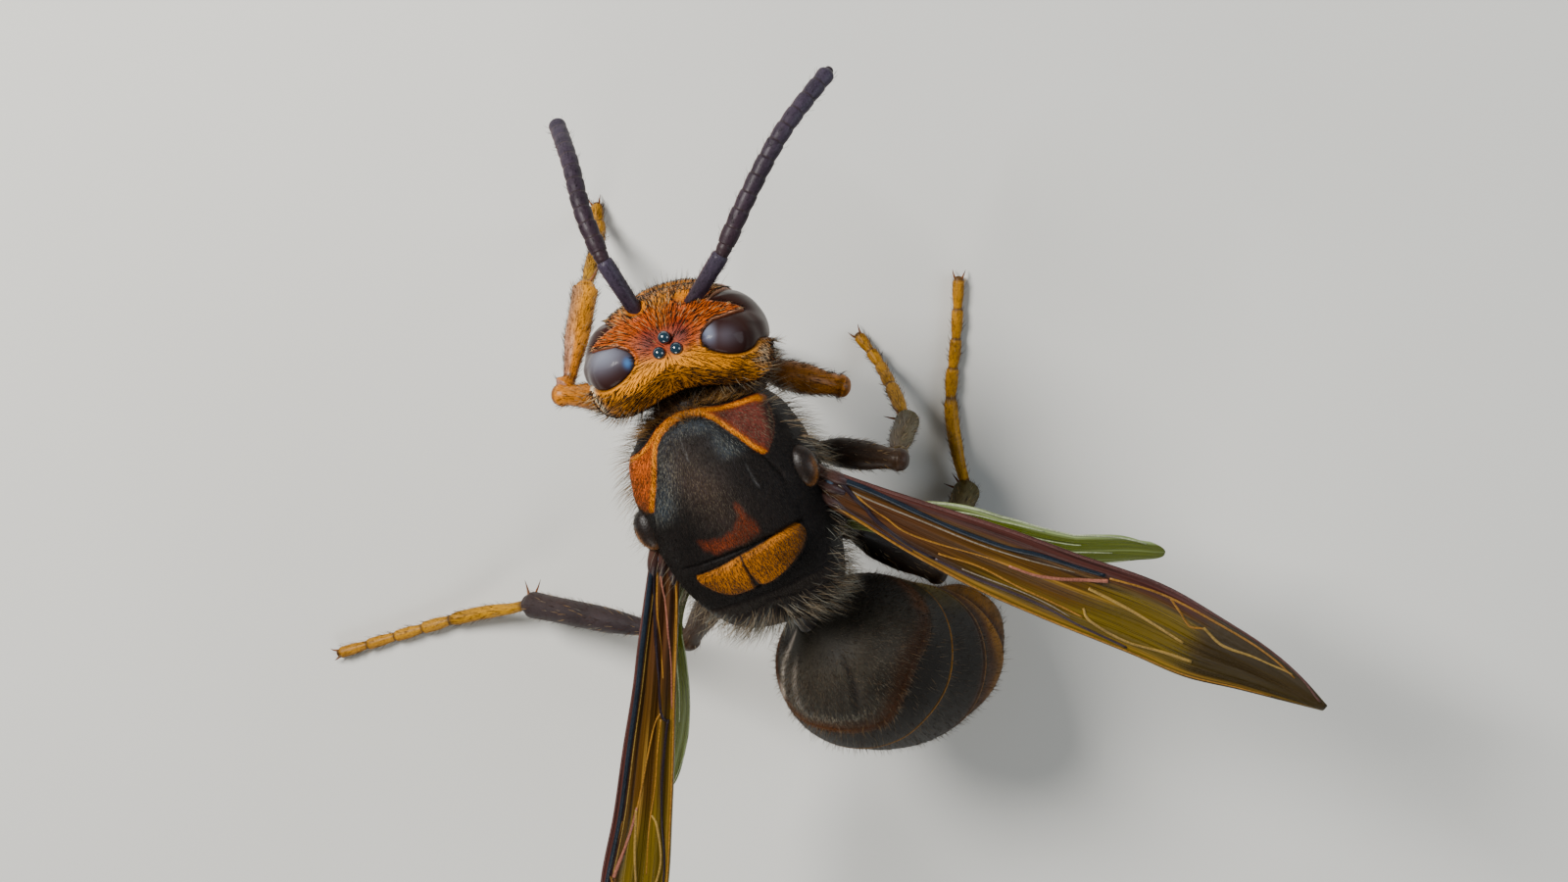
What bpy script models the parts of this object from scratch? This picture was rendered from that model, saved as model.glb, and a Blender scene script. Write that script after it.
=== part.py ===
# Hornet, a still life-size worker in the pose of a museum model.
#
# The animal stands on the plane z = 0 and faces -Y, with its left side at +X. Sizes and places
# are in millimetres and are turned into metres where a mesh is made. The thorax is symmetric
# about x = 0. Each sclerite is cut from one smooth body by thin gaps, and each limb starts
# inside the piece that carries it and is cut back to a gap from its surface.

import math

import bmesh
import bpy
import numpy as np
from mathutils import Matrix, Vector

MM = 0.001
GAP = 0.25                 # clear distance between neighbouring pieces
THICKNESS_OF_WINGS = 0.5   # membrane as cast; the ridges of the veins stand above it
VEIN_HEIGHT = 0.16
SIDES_OF_BODY = 26         # facets round the thorax, head and gaster
SIDES_OF_LIMB = 8          # facets round a leg or feeler joint

# Thorax along the body: y, top z, bottom z, half width
THORAX = [
    (-2.40, 12.60, 10.80, 0.95),
    (-2.15, 13.05, 10.20, 1.60),
    (-1.60, 13.60, 9.60, 2.30),
    (-0.60, 14.05, 9.00, 2.72),
    (0.60, 14.25, 8.75, 2.84),
    (1.80, 14.22, 8.70, 2.76),
    (2.60, 14.02, 8.80, 2.66),
    (3.40, 13.60, 9.00, 2.46),
    (4.20, 12.90, 9.10, 2.18),
    (4.90, 11.90, 9.20, 1.78),
    (5.30, 11.00, 9.30, 1.30),
    (5.50, 10.35, 9.45, 0.75),
]
THORAX_RINGS = 22
SCUTUM_CENTRE = (0.12, 1.20)
SCUTUM_HALF_WIDTH = 2.42
SCUTUM_HALF_LENGTH = 3.26
COLLAR_REAR_Y = 0.95       # the collar reaches back to the wing scales
COLLAR_LOW_Z = 10.20
SCUTELLUM = ((-1.75, 2.32, 12.60), (1.75, 3.62, 16.00))
PROPODEUM_Y = 3.45

# Head: its own axes have x to its left, y to its rear and z up to the crown
HEAD_CENTRE = (-0.34, -4.02, 11.65)
HEAD_YAW = -7.0            # degrees, the face is turned to its right
HEAD_PITCH = 11.0          # degrees, the jaws are drawn back under the face
HEAD_ROLL = -4.0           # degrees, the crown leans to its right
# z, half width, reach in front of the widest line, reach behind it
HEAD = [
    (-2.65, 1.00, 1.70, 0.20),
    (-2.45, 1.35, 1.98, 0.45),
    (-2.00, 1.90, 2.20, 0.85),
    (-1.20, 2.42, 2.33, 1.30),
    (-0.20, 2.76, 2.33, 1.58),
    (0.70, 2.85, 2.25, 1.64),
    (1.50, 2.72, 2.00, 1.50),
    (2.10, 2.35, 1.55, 1.20),
    (2.48, 1.75, 1.05, 0.82),
    (2.66, 0.95, 0.50, 0.45),
]
HEAD_WIDEST_Y = 0.45
HEAD_HOLLOW = 0.80         # depth of the hollow at the back of the head, where the neck is
HEAD_RINGS = 14
EYE_CENTRE = (1.66, 0.06, 0.62)
EYE_RADII = (1.16, 1.22, 1.78)
EYE_NOTCH_CENTRE = (1.05, -0.98, 1.10)
EYE_NOTCH_RADII = (1.05, 0.62, 0.75)
CLYPEUS_CENTRE = (0.0, -1.52, -1.15)
CLYPEUS_RADII = (1.25, 0.50, 1.25)
OCELLI = [(0.0, -0.36, 2.50), (0.26, 0.05, 2.58), (-0.26, 0.05, 2.58)]
OCELLUS_RADIUS = 0.21
NECK = ((0.0, 0.75, -0.10), (-0.02, -3.00, 11.50))   # in the head's axes, and in the body's
NECK_RADIUS = 0.70
JAW = [(1.40, -0.60, -1.70), (1.22, -0.98, -2.75), (0.80, -1.20, -3.25), (0.30, -1.28, -3.55)]
JAW_RADII = [(0.0, 0.50), (0.5, 0.46), (1.0, 0.14)]
MOUTH = [(0.0, -0.25, -2.20), (0.0, -0.40, -3.00), (0.0, -0.50, -3.40)]
MOUTH_RADII = [(0.0, 0.55), (1.0, 0.30)]

# Gaster: way of its middle from the waist to the tip
GASTER_WAY = [
    (0.00, 5.85, 9.60),
    (-0.55, 7.50, 8.10),
    (-0.65, 8.75, 6.10),
    (-1.30, 9.60, 4.20),
    (-2.00, 9.90, 2.70),
    (-2.55, 9.60, 1.50),
    (-2.80, 8.90, 0.25),
]
# distance along it, half width, reach to the back plates, reach to the belly plates
GASTER = [
    (0.00, 0.42, 0.42, 0.40),
    (0.35, 1.00, 0.95, 0.80),
    (0.80, 1.90, 1.75, 1.50),
    (1.30, 2.38, 2.15, 1.95),
    (2.30, 2.68, 2.42, 2.30),
    (3.50, 2.92, 2.65, 2.52),
    (4.75, 2.95, 2.68, 2.55),
    (7.00, 2.78, 2.52, 2.40),
    (8.75, 2.30, 2.08, 2.00),
    (10.10, 1.60, 1.45, 1.40),
    (10.90, 0.95, 0.90, 0.85),
    (11.50, 0.30, 0.30, 0.28),
]
GASTER_ENDS = [0.0, 2.60, 4.75, 7.00, 8.75, 10.10, 11.45]
WAIST = [(0.0, 5.30, 9.86), (0.0, 5.75, 9.72), (-0.03, 6.10, 9.45)]
WAIST_RADIUS = 0.42

# Wings: root on the thorax, tip, widest chord across the folded wing
FOREWINGS = {
    "left": ((2.60, 1.50, 12.35), (11.05, 16.60, 9.20)),
    "right": ((-2.60, 1.50, 12.35), (-13.67, 14.83, 9.00)),
}
HINDWINGS = {
    "left": ((2.45, 2.45, 11.30), (7.00, 10.00, 8.50)),
    "right": ((-2.45, 2.45, 11.30), (-10.60, 8.90, 8.40)),
}
# share of the span, place of the leading edge across it, width of the folded wing there
FOREWING_OUTLINE = [
    (0.00, -0.45, 0.85),
    (0.19, -1.00, 1.35),
    (0.47, -1.36, 1.98),
    (0.66, -1.60, 1.92),
    (0.86, -1.35, 1.25),
    (0.96, -0.70, 0.70),
    (1.00, -0.25, 0.30),
]
HINDWING_OUTLINE = [
    (0.00, -0.30, 0.80),
    (0.20, -0.60, 1.10),
    (0.50, -0.88, 1.50),
    (0.85, -0.90, 1.30),
    (1.00, -0.55, 0.60),
]
WING_ARCH = 0.5            # rise of the wing above the straight line from root to tip
WING_CAMBER = 0.16
WING_SCALE_CENTRE = (2.82, 0.72, 12.62)
WING_SCALE_RADII = (0.42, 0.62, 0.40)

# Legs: hip on the thorax, trochanter, knee, end of the shin, then points of the foot
LEGS = {
    "fore_left": [(0.95, -1.30, 9.60), (1.35, -2.10, 8.30), (4.82, -3.26, 6.50),
                  (3.38, -5.77, 4.50), (3.05, -6.55, 2.50), (2.85, -7.25, 0.60), (2.80, -7.75, 0.25)],
    "fore_right": [(-0.95, -1.30, 9.60), (-1.35, -2.10, 8.30), (-3.50, -0.42, 7.60),
                   (-1.35, -1.10, 4.80), (-0.60, -1.60, 2.60), (0.25, -2.00, 0.60), (0.60, -2.30, 0.25)],
    "mid_left": [(1.25, 0.75, 9.20), (1.75, 0.95, 8.00), (3.90, 3.00, 6.40),
                 (4.60, 4.00, 2.80), (4.55, 2.80, 1.40), (4.40, 1.70, 0.45), (4.30, 1.20, 0.25)],
    "mid_right": [(-1.25, 0.75, 9.20), (-1.75, 0.95, 8.00), (-4.36, 2.38, 8.20),
                  (-4.44, 2.24, 4.00), (-4.10, 1.30, 2.00), (-3.70, 0.35, 0.45), (-3.50, -0.35, 0.25)],
    "hind_left": [(1.25, 3.10, 9.30), (1.70, 3.60, 8.00), (4.72, 5.82, 5.50),
                  (10.15, 3.65, 1.50), (12.60, 3.30, 0.55), (15.30, 3.05, 0.28), (17.40, 2.85, 0.25)],
    "hind_right": [(-1.25, 3.10, 9.30), (-1.70, 3.60, 8.00), (-3.55, 6.75, 5.70),
                   (-4.66, 5.82, 0.80), (-5.40, 2.83, 0.30), (-6.50, 0.80, 0.28), (-7.25, -0.75, 0.25)],
}
# radii along coxa, femur and shin, by leg pair
COXA_RADII = [(0.0, 0.70), (1.0, 0.50)]
FEMUR_RADII = {
    "fore": [(0.0, 0.38), (0.35, 0.56), (0.75, 0.48), (1.0, 0.36)],
    "mid": [(0.0, 0.36), (0.35, 0.52), (0.75, 0.44), (1.0, 0.34)],
    "hind": [(0.0, 0.36), (0.35, 0.54), (0.75, 0.44), (1.0, 0.34)],
}
SHIN_RADII = {
    "fore": [(0.0, 0.30), (0.4, 0.44), (1.0, 0.42)],
    "mid": [(0.0, 0.30), (0.5, 0.38), (1.0, 0.42)],
    "hind": [(0.0, 0.30), (0.5, 0.42), (1.0, 0.48)],
}
FOOT_RADIUS = 0.27
FOOT_JOINTS = 5
WHIP_JOINTS = 11

# Feelers in world places: root inside the head, end of the stalk, then points of the whip
FEELERS = {
    "left": [(-0.03, -5.25, 12.70), (0.29, -7.69, 13.30), (0.36, -8.95, 12.85),
             (0.36, -10.50, 11.60), (0.66, -11.65, 9.70)],
    "right": [(-0.95, -5.20, 12.95), (-3.09, -6.42, 13.30), (-4.35, -7.50, 13.05),
              (-6.10, -8.90, 12.40), (-8.00, -9.95, 11.00)],
}
STALK_RADII = [(0.0, 0.25), (0.5, 0.28), (1.0, 0.30)]
WHIP_RADIUS = 0.29

COLOURS = {
    "black": ((0.020, 0.017, 0.015), 0.45),
    "black_felt": ((0.045, 0.036, 0.028), 0.75),
    "orange": ((0.62, 0.20, 0.025), 0.50),
    "golden": ((0.66, 0.30, 0.035), 0.50),
    "rust": ((0.30, 0.075, 0.018), 0.45),
    "eye": ((0.022, 0.013, 0.014), 0.20),
    "feeler": ((0.060, 0.035, 0.050), 0.45),
    "wing": ((0.22, 0.11, 0.030), 0.35),
    "wing_clear": ((0.20, 0.22, 0.08), 0.30),
    "yellow": ((0.66, 0.36, 0.045), 0.50),
    "shin": ((0.16, 0.12, 0.045), 0.50),
    "gaster": ((0.040, 0.032, 0.026), 0.55),
    "gaster_yellow": ((0.42, 0.24, 0.035), 0.50),
}


def smooth(table, t):
    """Value at t of a smooth curve through rows of (place, value, ...)."""
    rows = np.array(table, float)
    places, values = rows[:, 0], rows[:, 1:]
    slopes = np.gradient(values, places, axis=0)
    k = int(np.clip(np.searchsorted(places, t) - 1, 0, len(places) - 2))
    span = places[k + 1] - places[k]
    s = min(max((t - places[k]) / span, 0.0), 1.0)
    start, end = 2 * s**3 - 3 * s**2 + 1, 3 * s**2 - 2 * s**3
    rise, fall = (s**3 - 2 * s**2 + s) * span, (s**3 - s**2) * span
    return start * values[k] + end * values[k + 1] + rise * slopes[k] + fall * slopes[k + 1]


def way_table(points):
    """Rows of (distance, x, y, z) for a way through points."""
    rows, distance = [], 0.0
    for k, point in enumerate(points):
        if k:
            distance += (Vector(point) - Vector(points[k - 1])).length
        rows.append((distance, *point))
    return rows


def frames(points, side):
    """Centre, side and up vectors at each point of a way, with no twist between them."""
    side = Vector(side)
    out = []
    for k, point in enumerate(points):
        ahead = points[min(k + 1, len(points) - 1)] - points[max(k - 1, 0)]
        ahead.normalize()
        side = (side - ahead * side.dot(ahead)).normalized()
        out.append((point, side, side.cross(ahead)))
    return out


def ring(centre, side, up, half_width, up_reach, down_reach, power=2.0, count=SIDES_OF_BODY):
    points = []
    for k in range(count):
        angle = 2 * math.pi * k / count
        c, s = math.cos(angle), math.sin(angle)
        across = half_width * math.copysign(abs(c) ** (2 / power), c)
        reach = up_reach if s >= 0 else down_reach
        points.append(centre + side * across + up * reach * math.copysign(abs(s) ** (2 / power), s))
    return points


def new_object(name, vertices, faces):
    mesh = bpy.data.meshes.new(name)
    mesh.from_pydata([Vector(v) * MM for v in vertices], [], faces)
    work = bmesh.new()
    work.from_mesh(mesh)
    bmesh.ops.recalc_face_normals(work, faces=work.faces)
    work.to_mesh(mesh)
    work.free()
    piece = bpy.data.objects.new(name, mesh)
    bpy.context.scene.collection.objects.link(piece)
    return piece


def loft(name, rings):
    """Closed body through rings of equal count, with triangles between them and flat ends."""
    count = len(rings[0])
    vertices = [point for one in rings for point in one]
    faces = []
    for k in range(len(rings) - 1):
        for j in range(count):
            a, b = k * count + j, k * count + (j + 1) % count
            faces += [(a, b, b + count), (a, b + count, a + count)]
    faces.append(tuple(range(count)))
    faces.append(tuple(range(len(vertices) - count, len(vertices))))
    return new_object(name, vertices, faces)


def box(name, low, high):
    corners = [(x, y, z) for x in (low[0], high[0]) for y in (low[1], high[1]) for z in (low[2], high[2])]
    sides = [(0, 1, 3, 2), (4, 6, 7, 5), (0, 4, 5, 1), (2, 3, 7, 6), (0, 2, 6, 4), (1, 5, 7, 3)]
    return new_object(name, corners, sides)


def ellipsoid(name, centre, radii, grow=0.0, rings=10, count=16, pose=Matrix()):
    rows = []
    for k in range(rings + 1):
        angle = math.pi * (0.04 + 0.92 * k / rings)
        rows.append([
            pose @ (Vector(centre) + Vector((
                (radii[0] + grow) * math.sin(angle) * math.cos(2 * math.pi * j / count),
                (radii[1] + grow) * math.sin(angle) * math.sin(2 * math.pi * j / count),
                -(radii[2] + grow) * math.cos(angle))))
            for j in range(count)])
    return loft(name, rows)


def tube(name, points, radii, grow=0.0, steps=6, count=SIDES_OF_LIMB, side=(1, 0, 0.2), on_floor=False):
    """Round limb along a smooth way, with domed ends; radii are rows of (share of length, radius)."""
    table = way_table(points)
    length = table[-1][0]
    centres = [Vector(smooth(table, length * k / steps)) for k in range(steps + 1)]
    stations = frames(centres, side)
    sizes = [float(smooth(radii, k / steps)[0]) + grow for k in range(steps + 1)]
    rings = [ring(c, s, u, r, r, r, 2.0, count) for (c, s, u), r in zip(stations, sizes)]
    for at_end in (False, True):
        k = -1 if at_end else 0
        centre, s, u = stations[k]
        away = s.cross(u) * (-1 if at_end else 1)
        away = -away if away.dot(centre - stations[-2 if at_end else 1][0]) < 0 else away
        dome = [ring(centre + away * sizes[k] * out, s, u, *[sizes[k] * wide] * 3, 2.0, count)
                for out, wide in ((0.38, 0.80), (0.60, 0.40))]
        rings = rings + dome if at_end else dome[::-1] + rings
    if on_floor:
        rings = [[Vector((p.x, p.y, max(p.z, 0.0))) for p in one] for one in rings]
    return loft(name, rings)


def combine(piece, others, operation, solver="EXACT"):
    """Apply one Boolean of a piece with a collection of closed bodies, which are then removed."""
    group = bpy.data.collections.new("tools")
    for other in others:
        group.objects.link(other)
    change = piece.modifiers.new("combine", "BOOLEAN")
    change.operation, change.solver = operation, solver
    change.operand_type, change.collection = "COLLECTION", group
    graph = bpy.context.evaluated_depsgraph_get()
    mesh = bpy.data.meshes.new_from_object(piece.evaluated_get(graph))
    piece.modifiers.clear()
    piece.data = mesh
    for other in others:
        bpy.data.objects.remove(other)
    bpy.data.collections.remove(group)
    keep_largest(piece)
    return piece


def keep_largest(piece):
    """Drop all but the largest closed surface of a piece."""
    work = bmesh.new()
    work.from_mesh(piece.data)
    bmesh.ops.remove_doubles(work, verts=work.verts, dist=0.000002)
    bmesh.ops.dissolve_degenerate(work, edges=work.edges, dist=0.000002)
    left, shells = set(work.faces), []
    while left:
        shell, front = [], [left.pop()]
        while front:
            face = front.pop()
            shell.append(face)
            for edge in face.edges:
                for other in edge.link_faces:
                    if other in left:
                        left.remove(other)
                        front.append(other)
        shells.append(shell)
    shells.sort(key=lambda shell: sum(face.calc_area() for face in shell))
    bmesh.ops.delete(work, geom=[f for shell in shells[:-1] for f in shell], context="FACES")
    bmesh.ops.triangulate(work, faces=work.faces)
    work.to_mesh(piece.data)
    work.free()


def finish(piece, colour):
    """Give a piece its material and shading, and keep it among the pieces of the model."""
    (red, green, blue), roughness = COLOURS[colour]
    material = bpy.data.materials.new(piece.name)
    material.use_nodes = True
    shader = material.node_tree.nodes["Principled BSDF"]
    shader.inputs["Base Color"].default_value = (red, green, blue, 1)
    shader.inputs["Roughness"].default_value = roughness
    shader.inputs["Metallic"].default_value = 0.0
    piece.data.materials.clear()
    piece.data.materials.append(material)
    piece.data.shade_smooth()
    piece.data.set_sharp_from_angle(angle=math.radians(40))
    return piece


def thorax(name, grow=0.0):
    start, end = THORAX[0][0], THORAX[-1][0]
    rings = []
    for k in range(THORAX_RINGS + 1):
        y = start + (end - start) * k / THORAX_RINGS
        top, bottom, half_width = smooth(THORAX, y)
        middle = bottom + 0.55 * (top - bottom)
        place = y + grow * (2 * k / THORAX_RINGS - 1)
        centre = Vector((0, place, middle))
        rings.append(ring(centre, Vector((1, 0, 0)), Vector((0, 0, 1)), half_width + grow,
                          top - middle + grow, middle - bottom + grow, 2.25))
    return loft(name, rings)


def collar_region(name, grow=0.0):
    """Space of the collar: ahead of the wing scales and outside the round front of the scutum."""
    region = box(name, (-5, -5, COLLAR_LOW_Z - grow), (5, COLLAR_REAR_Y + grow, 18))
    width, length = SCUTUM_HALF_WIDTH - grow, SCUTUM_HALF_LENGTH - grow
    across, along = Vector((1, 0, 0)), Vector((0, 1, 0))
    disc = [ring(Vector((*SCUTUM_CENTRE, z)), across, along, width, length, length, 2.0, 36) for z in (5, 20)]
    return combine(region, [loft("disc", disc)], "DIFFERENCE")


def build_thorax():
    low, high = SCUTELLUM
    grown_low = [v - GAP for v in low]
    grown_high = [v + GAP for v in high]
    half = GAP / 2
    collar = combine(thorax("pronotum"), [collar_region("space")], "INTERSECT")
    middle = combine(thorax("mesothorax"), [
        collar_region("space", GAP),
        box("shield", grown_low, grown_high),
        box("rear", (-6, PROPODEUM_Y - half, 0), (6, 9, 20)),
    ], "DIFFERENCE")
    shield = combine(thorax("scutellum"), [box("shield", low, high)], "INTERSECT")
    rear = combine(thorax("propodeum"), [
        box("shield", grown_low, grown_high),
        box("front", (-6, -9, 0), (6, PROPODEUM_Y + half, 20)),
    ], "DIFFERENCE")
    finish(collar, "orange")
    finish(middle, "black_felt")
    finish(shield, "golden")
    finish(rear, "black")


def head_pose():
    pose = Matrix.Translation(HEAD_CENTRE)
    for degrees, axis in ((HEAD_YAW, "Z"), (HEAD_PITCH, "X"), (HEAD_ROLL, "Y")):
        pose = pose @ Matrix.Rotation(math.radians(degrees), 4, axis)
    return pose


def skull(name, grow=0.0):
    """Closed head without eyes: level rings from the jaws to the crown, hollow at the back."""
    pose = head_pose()
    start, end = HEAD[0][0], HEAD[-1][0]
    rings = []
    for k in range(HEAD_RINGS + 1):
        z = start + (end - start) * k / HEAD_RINGS
        half_width, front, behind = smooth(HEAD, z)
        place = z + grow * (2 * k / HEAD_RINGS - 1)
        centre = Vector((0, HEAD_WIDEST_Y, place))
        one = ring(centre, Vector((1, 0, 0)), Vector((0, 1, 0)), half_width + grow,
                   behind + grow, front + grow, 2.2)
        for point in one:
            if point.y > HEAD_WIDEST_Y:
                share = max(0.0, 1 - abs(point.x / (half_width + grow)) ** 3) ** (1 / 3)
                hollow = HEAD_HOLLOW * math.exp(-(point.x / (0.7 * half_width)) ** 2)
                point.y = HEAD_WIDEST_Y + share * (behind + grow - hollow)
        rings.append([pose @ point for point in one])
    return loft(name, rings)


def mirrored(place, sign):
    return (sign * place[0], place[1], place[2])


def eye(name, sign, grow=0.0):
    """Kidney-shaped eye: an oval with a round notch beside the feeler."""
    pose = head_pose()
    globe = ellipsoid(name, mirrored(EYE_CENTRE, sign), EYE_RADII, grow, 10, 16, pose)
    notch = ellipsoid("notch", mirrored(EYE_NOTCH_CENTRE, sign), EYE_NOTCH_RADII, -grow, 7, 10, pose)
    return combine(globe, [notch], "DIFFERENCE")


def build_head():
    pose = head_pose()
    head = skull("head")
    bumps = [ellipsoid("clypeus", CLYPEUS_CENTRE, CLYPEUS_RADII, 0.0, 7, 14, pose)]
    bumps += [ellipsoid("ocellus", place, [OCELLUS_RADIUS] * 3, 0.0, 4, 7, pose) for place in OCELLI]
    combine(head, bumps, "UNION")
    neck_points = [pose @ Vector(NECK[0]), Vector(NECK[1])]
    neck_radii = [(0.0, NECK_RADIUS), (1.0, NECK_RADIUS)]
    tools = [eye("socket", sign, GAP) for sign in (1, -1)]
    tools.append(tube("bore", neck_points, neck_radii, GAP, 2, 12))
    combine(head, tools, "DIFFERENCE")
    finish(head, "orange")
    finish(tube("neck", neck_points, neck_radii, 0.0, 2, 12), "black")
    for side, sign in (("left", 1), ("right", -1)):
        finish(eye("eye_" + side, sign), "eye")
        jaw_points = [pose @ Vector(mirrored(place, sign)) for place in JAW]
        jaw = tube("mandible_" + side, jaw_points, JAW_RADII, 0.0, 6, 8)
        finish(combine(jaw, [skull("skull", GAP)], "DIFFERENCE"), "rust")
    mouth = tube("mouthparts", [pose @ Vector(place) for place in MOUTH], MOUTH_RADII, 0.0, 3, 8)
    finish(combine(mouth, [skull("skull", GAP)], "DIFFERENCE"), "rust")


def bead_radii(radius, beads, taper=0.12):
    """Radii of a limb of short joints, each a little wider at its far end."""
    rows = []
    for k in range(beads):
        size = radius * (1 - taper * k / beads)
        rows += [(k / beads, 0.86 * size), ((k + 0.55) / beads, size), ((k + 0.92) / beads, 0.98 * size)]
    rows.append((1.0, radius * (0.86 - taper)))
    return rows


def build_feelers():
    for side, points in FEELERS.items():
        stalk = tube("antenna_scape_" + side, points[:2], STALK_RADII, 0.0, 4)
        beads = bead_radii(WHIP_RADIUS, WHIP_JOINTS)
        whip = tube("antenna_flagellum_" + side, points[1:], beads, 0.0, 3 * WHIP_JOINTS)
        combine(stalk, [skull("skull", GAP)], "DIFFERENCE")
        combine(whip, [tube("root", points[:2], STALK_RADII, GAP, 4)], "DIFFERENCE")
        finish(stalk, "feeler")
        finish(whip, "feeler")


def gaster_ring(distance, swell=1.0):
    table = way_table(GASTER_WAY)
    step = 0.05
    points = [Vector(smooth(table, distance + k * step)) for k in (-1, 0, 1)]
    centre, side, up = frames(points, (1, 0, 0))[1]
    half_width, back, belly = (v * swell for v in smooth(GASTER, distance))
    one = ring(centre, side, up, half_width, back, belly, 2.1)
    return [Vector((p.x, p.y, max(p.z, 0.0))) for p in one]


def build_gaster():
    colours = ["gaster", "gaster", "gaster", "gaster_yellow", "gaster_yellow", "gaster"]
    for k, colour in enumerate(colours):
        start = GASTER_ENDS[k] + (GAP if k else 0.0)
        end = GASTER_ENDS[k + 1]
        steps = 7 if k == 0 else 5
        rings = []
        for j in range(steps + 1):
            share = j / steps
            swell = 1.0 + (0.03 * share - 0.02 * (1 - share) if 0 < k < 5 else 0.0)
            rings.append(gaster_ring(start + (end - start) * share, swell))
        finish(loft("gaster_%d" % (k + 1), rings), colour)
    waist_radii = [(0.0, WAIST_RADIUS), (1.0, WAIST_RADIUS)]
    waist = tube("petiole", WAIST, waist_radii, 0.0, 3, 10)
    first = bpy.data.objects["gaster_1"]
    combine(waist, [thorax("body", GAP)], "DIFFERENCE")
    combine(first, [tube("bore", WAIST, waist_radii, GAP, 3, 10), thorax("body", GAP)], "DIFFERENCE")
    finish(first, "gaster")
    finish(waist, "black")


def vein_ridge(u, v, lanes, bars):
    """Height of the veins: lanes run along the wing, bars cross between two lanes."""
    height = 0.0
    for lane, start, end in lanes:
        if start <= u <= end and abs(v - lane) < 0.03:
            height = VEIN_HEIGHT
    for place, low, high in bars:
        if abs(u - place) < 0.012 and low <= v <= high:
            height = VEIN_HEIGHT
    return height


def wing(name, root, tip, outline, rows, columns, lanes, bars):
    """Folded wing as a plate of even thickness, with the main veins raised in its upper face."""
    root, tip = Vector(root), Vector(tip)
    span = tip - root
    sign = 1 if root.x > 0 else -1
    along = span.normalized()
    inward = Vector((-sign * along.y, sign * along.x, 0)).normalized()
    up = along.cross(inward) * (1 if sign < 0 else -1)
    up = up if up.z > 0 else -up
    vertices = []
    for layer in (1, -1):
        for i in range(rows + 1):
            u = i / rows
            lead, width = smooth(outline, u)
            for v in columns:
                across = inward * (lead + width * v)
                lift = WING_ARCH * math.sin(math.pi * u) - WING_CAMBER * v * v
                if layer > 0:
                    lift += vein_ridge(u, v, lanes, bars)
                vertices.append(root + span * u + across + up * (lift + layer * THICKNESS_OF_WINGS / 2))
    wide = len(columns)
    lower = (rows + 1) * wide
    faces = []
    for i in range(rows):
        for j in range(wide - 1):
            a = i * wide + j
            b, c, d = a + 1, a + wide + 1, a + wide
            faces += [(a, b, c), (a, c, d)]
            faces += [(lower + a, lower + c, lower + b), (lower + a, lower + d, lower + c)]
    edge = [j for j in range(wide)] + [i * wide + wide - 1 for i in range(1, rows + 1)]
    edge += [rows * wide + j for j in range(wide - 2, -1, -1)] + [i * wide for i in range(rows - 1, 0, -1)]
    for a, b in zip(edge, edge[1:] + edge[:1]):
        faces += [(a, lower + a, lower + b), (a, lower + b, b)]
    return new_object(name, vertices, faces)


def build_wings():
    columns = [0.0, 0.05, 0.10, 0.18, 0.24, 0.36, 0.48, 0.54, 0.72, 0.78, 1.0]
    lanes = [(0.05, 0.0, 1.0), (0.18, 0.0, 0.68), (0.48, 0.02, 0.92), (0.78, 0.0, 0.80)]
    bars = [(0.36, 0.48, 0.78), (0.60, 0.18, 0.48), (0.68, 0.05, 0.18), (0.80, 0.05, 0.48)]
    hind_columns = [0.0, 0.06, 0.14, 0.30, 0.45, 0.52, 0.75, 1.0]
    hind_lanes = [(0.06, 0.0, 0.9), (0.45, 0.0, 0.8)]
    hind_bars = [(0.5, 0.06, 0.45)]
    for side, sign in (("left", 1), ("right", -1)):
        root, tip = FOREWINGS[side]
        fore = wing("forewing_" + side, root, tip, FOREWING_OUTLINE, 26, columns, lanes, bars)
        finish(combine(fore, [thorax("body", GAP)], "DIFFERENCE"), "wing")
        root, tip = HINDWINGS[side]
        hind = wing("hindwing_" + side, root, tip, HINDWING_OUTLINE, 15, hind_columns, hind_lanes, hind_bars)
        finish(combine(hind, [thorax("body", GAP)], "DIFFERENCE"), "wing_clear")
        x, y, z = WING_SCALE_CENTRE
        scale = ellipsoid("tegula_" + side, (sign * x, y, z), WING_SCALE_RADII, 0.0, 7, 12)
        finish(combine(scale, [thorax("body", GAP)], "DIFFERENCE"), "rust")


def build_legs():
    for name, points in LEGS.items():
        pair = name.split("_")[0]
        hip, knuckle, knee, ankle = points[:4]
        femur_radii, shin_radii = FEMUR_RADII[pair], SHIN_RADII[pair]
        coxa = tube("coxa_" + name, [hip, knuckle], COXA_RADII, 0.0, 3)
        femur = tube("femur_" + name, [knuckle, knee], femur_radii, 0.0, 6)
        shin = tube("tibia_" + name, [knee, ankle], shin_radii, 0.0, 6)
        beads = bead_radii(FOOT_RADIUS, FOOT_JOINTS)
        foot = tube("tarsus_" + name, points[3:], beads, 0.0, 3 * FOOT_JOINTS, on_floor=True)
        combine(coxa, [thorax("body", GAP)], "DIFFERENCE")
        hip_space = tube("root", [hip, knuckle], COXA_RADII, GAP, 3)
        combine(femur, [hip_space, thorax("body", GAP)], "DIFFERENCE")
        combine(shin, [tube("root", [knuckle, knee], femur_radii, GAP, 6)], "DIFFERENCE")
        combine(foot, [tube("root", [knee, ankle], shin_radii, GAP, 6)], "DIFFERENCE")
        finish(coxa, "black")
        finish(femur, "black")
        finish(shin, "orange" if pair == "fore" else "shin")
        finish(foot, "yellow")


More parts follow.
